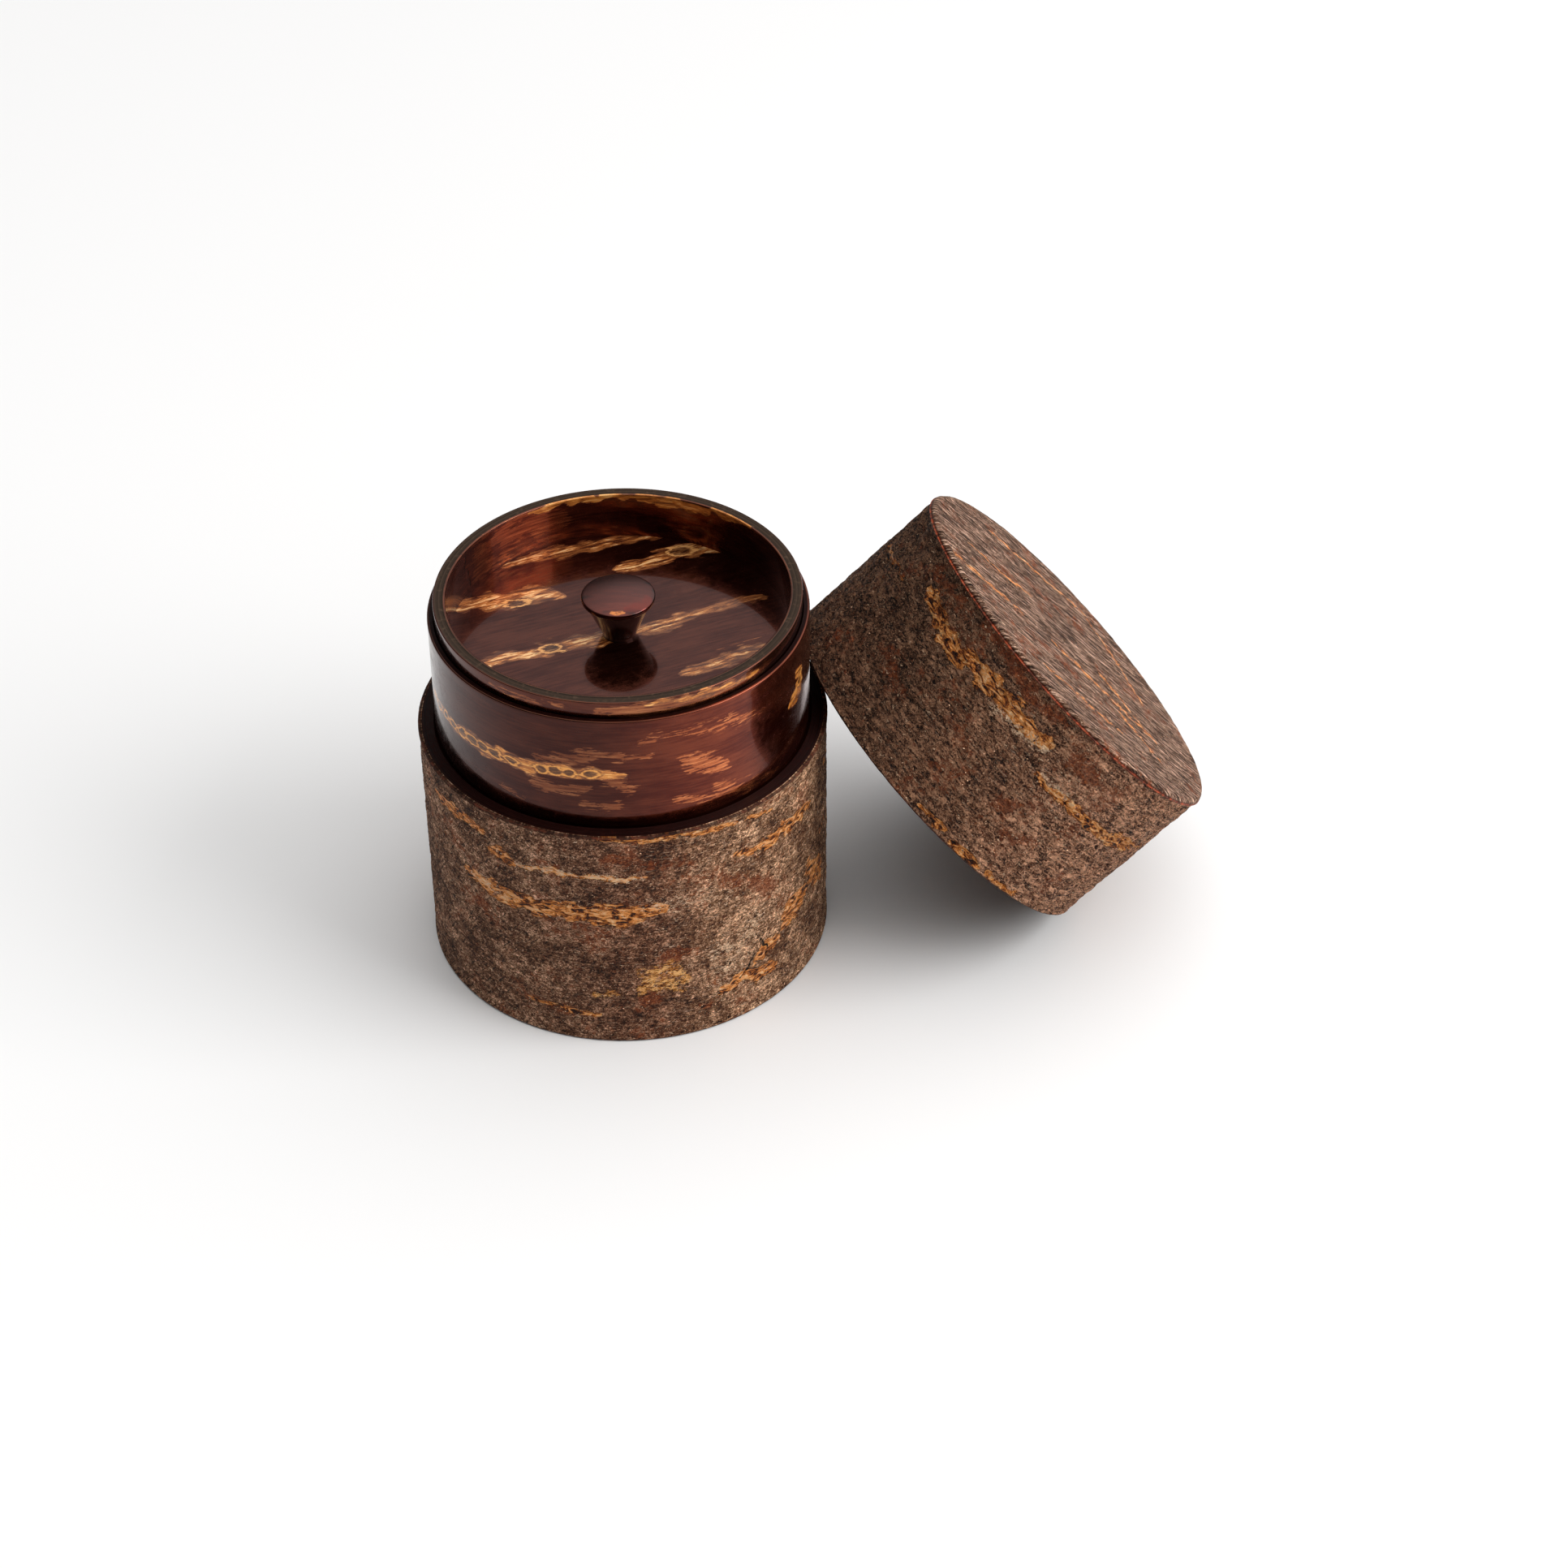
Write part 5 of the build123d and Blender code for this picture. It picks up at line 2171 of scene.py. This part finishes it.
    def build(self, looks: "Looks") -> None:
        """Makes and dresses the cap's pieces.

        Args:
            looks: the finishes.
        """
        self.side_sheet(looks)
        self.top_sheet(looks)
        for node, finish in (
            ("cap_outer_ply", looks.cap_rim), ("cap_inner_ply", looks.cap_rim),
            ("cap_lining", looks.cap_lining), ("cap_board", looks.board), ("cap_ceiling_bark", looks.lining),
        ):
            dress(looks.nodes[node], finish)

    def side_sheet(self, looks: "Looks") -> None:
        """The rough bark round the cap, with its crumbs.

        Args:
            looks: the finishes.
        """
        r = self.radius - self.wrap_inset
        inner = self.radius - self.wall
        rows = worn_foot(r, 0.0, inner, self.foot_break, self.foot_worn)
        rows += run(r, self.foot_break, self.side_high, round(self.side_high / self.step), self.fade)
        rows += [Row(inner, self.side_high)]
        wild = wild_bands(31, 5, (240, 400), (5, 33)) + [Mark(Kind.RUST, ((300, 20), (310, 24)), 4.0, 0.8)]
        marks = MarkMap(self.SIDE_MARKS + wild, Lay.WRAPPED, self.radius, 108)
        sheet = Turning(
            "cap_side_sheet", rows, marks, columns=574, seam=10.0, place=self.place, painted_light_side=self.PAINTED_LIGHT_SIDE
        )
        piece = sheet.build(Relief(0.34, 208, wrinkle=0.50))
        form = Envelope(self.place, r, 0.0, self.side_high)
        fit_rough(piece, "cap", "cap_bark", looks.cap_bark, self.SIDE_CRUMBS, form, looks)

    def top_sheet(self, looks: "Looks") -> None:
        """The rough bark across the cap's top, worked down over the shoulder.

        Args:
            looks: the finishes.
        """
        r, side, high = self.radius, self.side_high, self.top_high
        inner = r - self.wall
        edge = 0.1
        rows = [Row(0.0, self.top_low), Row(inner, self.top_low), Row(inner, side)]
        rows += [Row(r - edge, side, 0.0, 1.0), Row(r, side + edge, 0.15, 1.0)]
        bend = arc((r - self.shoulder, high - self.shoulder), self.shoulder, 0, 90, 7, 0.6)
        for k, row in enumerate(bend):
            row.edge = max(0.0, 1.0 - k * 0.6)
        rows += bend + across(r - self.shoulder, high, self.step)
        sheet = Turning(
            "cap_top_sheet", rows, MarkMap(self.TOP_MARKS, Lay.FLAT, r, 109), columns=480, seam=0.0,
            place=self.place, pole_to_pole=True, painted_light_side=self.PAINTED_LIGHT_SIDE,
        )
        piece = sheet.build(self.TOP_RELIEF)
        form = Envelope(self.place, r, side, high)
        fit_rough(piece, "cap", "cap_top_bark", looks.cap_top, self.TOP_CRUMBS, form, looks)


# ---------------------------------------------------------------- looks and studio


@dataclass
class Looks:
    """Every finish, made once, with the CAD nodes and the repeating trees."""

    nodes: dict[str, bpy.types.Object]
    cap_place: Matrix

    CAP_TOP_TINT = (1.03, 1.02, 1.04)
    RIM = ((0.005, 0.0008, 0.0005), (0.018, 0.0030, 0.0018))
    LINER = ((0.05, 0.022, 0.012), (0.12, 0.055, 0.03))

    def __post_init__(self) -> None:
        """Makes the finishes and the trees."""
        self.body_bark = RoughBark("body_bark_finish").material()
        # The cap's side is painted much darker on its shaded side than on its lit side.
        self.cap_bark = RoughBark(
            "cap_bark_finish", grain=0.28, fibre=0.25, wrinkle=1.50, shade_tint=(0.48, 0.38, 0.30),
            even=(0.76, 0.59, 0.47), lit_tint=(1.26, 1.02, 0.86), fibre_scale=1.2, mottle=0.55,
        ).material()
        self.cap_top = RoughBark(
            "cap_top_finish", turn=90.0, grain=0.55, fibre=1.45, shade_tint=self.CAP_TOP_TINT,
            even=self.CAP_TOP_TINT, lit_tint=self.CAP_TOP_TINT, fibre_scale=1.0, stroke_turn=0.0, mottle=0.25,
            lip=(0.36, 0.060, 0.020),
        ).material()
        self.base = RoughBark("base_bark_finish").material()
        self.neck_bark = PolishedBark(
            "neck_bark_finish", light=(0.100, 0.0220, 0.0100), sheen=1.0, coat=0.24
        ).material()
        self.ring_bark = PolishedBark("ring_outer_finish", light=(0.095, 0.0220, 0.0100)).material()
        self.ring_inner = PolishedBark(
            "ring_inner_finish", copper=0.10, light=(0.17, 0.042, 0.020)
        ).material()
        self.lid_face = PolishedBark(
            "lid_face_finish", turn=-23.5, light=(0.115, 0.0280, 0.0150), straw=True, core=0.36, coat=0.38
        ).material()
        self.lining = PolishedBark("lining_finish", copper=0.1, coat_roughness=0.25).material()
        self.liner = VeneerEdge("neck_liner_finish", *self.LINER, 0.5).material()
        self.rim = VeneerEdge("rim_veneer_finish", *self.RIM, 0.45).material()
        self.ring_edge = VeneerEdge(
            "ring_veneer_finish", (0.012, 0.0070, 0.0045), (0.062, 0.039, 0.026), 0.60
        ).material()
        self.cap_rim = VeneerEdge("cap_rim_finish", *self.RIM, 0.45, self.cap_place).material()
        self.cap_lining = VeneerEdge("cap_lining_finish", *self.LINER, 0.5, self.cap_place).material()
        self.board = BoardWood("board_finish").material()
        self.knob = KnobLacquer("knob_finish").material()
        self.crumb = BarkCrumb("bark_crumb_finish").material()
        self.crumbs = crumb_tree()
        self.ridges = ridge_tree()


@dataclass
class Studio:
    """The pale table, the soft lights and the camera."""

    camera_at: Triple = (0.032949, -0.563804, 0.485147)
    look: Triple = (0.0, 0.780795, -0.624788)
    right: Triple = (0.999981, -0.003833, -0.004790)
    lens: float = 79.42
    sensor: float = 36.0
    clip: Point = (0.01, 20.0)
    sky_from: Triple = (0.32, 0.12, 0.92)
    sky_range: Point = (0.26, 0.97)
    sky_level: Point = (0.05, 1.42)
    key_at: Triple = (1.24, -0.38, 0.95)
    key_width: float = 1.1
    key_power: float = 16.5
    target: Triple = (0.03, 0.0, 0.04)
    table_half: float = 3.0

    def build(self) -> None:
        """Makes the table, the lights and the camera."""
        self.table()
        self.lights()
        self.camera()

    def table(self) -> None:
        """A wide flat table under the caddy."""
        half = self.table_half
        corners = [(-half, -half, 0), (half, -half, 0), (half, half, 0), (-half, half, 0)]
        mesh = bpy.data.meshes.new("table")
        mesh.from_pydata(corners, [], [(0, 1, 2, 3)])
        table = bpy.data.objects.new("table", mesh)
        bpy.context.scene.collection.objects.link(table)
        dress(table, TableTop().material())

    def lamp(self, name: str, at: Vector, width: float, power: float) -> None:
        """A square soft light that faces the caddy.

        Args:
            name: its name.
            at: its place, metres.
            width: length of its side, metres.
            power: its power, watts.
        """
        light = bpy.data.lights.new(name, "AREA")
        light.shape = "SQUARE"
        light.size = width
        light.energy = power
        lamp = bpy.data.objects.new(name, light)
        lamp.location = at
        lamp.rotation_euler = (Vector(self.target) - at).to_track_quat("-Z", "Y").to_euler()
        bpy.context.scene.collection.objects.link(lamp)

    def lights(self) -> None:
        """An even pale sky and a broad key from the right."""
        world = bpy.data.worlds.new("studio")
        world.use_nodes = True
        tree = world.node_tree
        tree.nodes["Background"].inputs["Color"].default_value = (1.0, 1.0, 1.0, 1.0)
        aim = tree.nodes.new("ShaderNodeVectorMath")
        aim.operation = "DOT_PRODUCT"
        tree.links.new(tree.nodes.new("ShaderNodeTexCoord").outputs["Generated"], aim.inputs[0])
        aim.inputs[1].default_value = Vector(self.sky_from).normalized()
        level = tree.nodes.new("ShaderNodeMapRange")
        level.interpolation_type = "SMOOTHSTEP"
        tree.links.new(aim.outputs["Value"], level.inputs["Value"])
        level.inputs["From Min"].default_value, level.inputs["From Max"].default_value = self.sky_range
        level.inputs["To Min"].default_value, level.inputs["To Max"].default_value = self.sky_level
        tree.links.new(level.outputs["Result"], tree.nodes["Background"].inputs["Strength"])
        bpy.context.scene.world = world
        self.lamp("key", Vector(self.key_at), self.key_width, self.key_power)

    def camera(self) -> None:
        """The camera, with its depth of field off."""
        data = bpy.data.cameras.new("camera")
        data.sensor_width = self.sensor
        data.lens = self.lens
        data.clip_start, data.clip_end = self.clip
        data.dof.use_dof = False
        camera = bpy.data.objects.new("camera", data)
        forward = Vector(self.look).normalized()
        right = Vector(self.right).normalized()
        up = right.cross(forward).normalized()
        turn = Matrix((right, up, -forward)).transposed().to_4x4()
        camera.matrix_world = Matrix.Translation(self.camera_at) @ turn
        bpy.context.scene.collection.objects.link(camera)
        bpy.context.scene.camera = camera


def main() -> None:
    """Builds the caddy's sub-assemblies in order."""
    logging.basicConfig(level=logging.INFO, format="%(message)s")
    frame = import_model()
    bpy.context.scene.view_settings.view_transform = "Standard"
    cap = Cap.from_frame(frame)
    looks = Looks(frame["nodes"], cap.place)
    Canister().build(looks)
    InnerLid().build(looks)
    cap.build(looks)
    Studio().build()


if __name__ == "__main__":
    main()
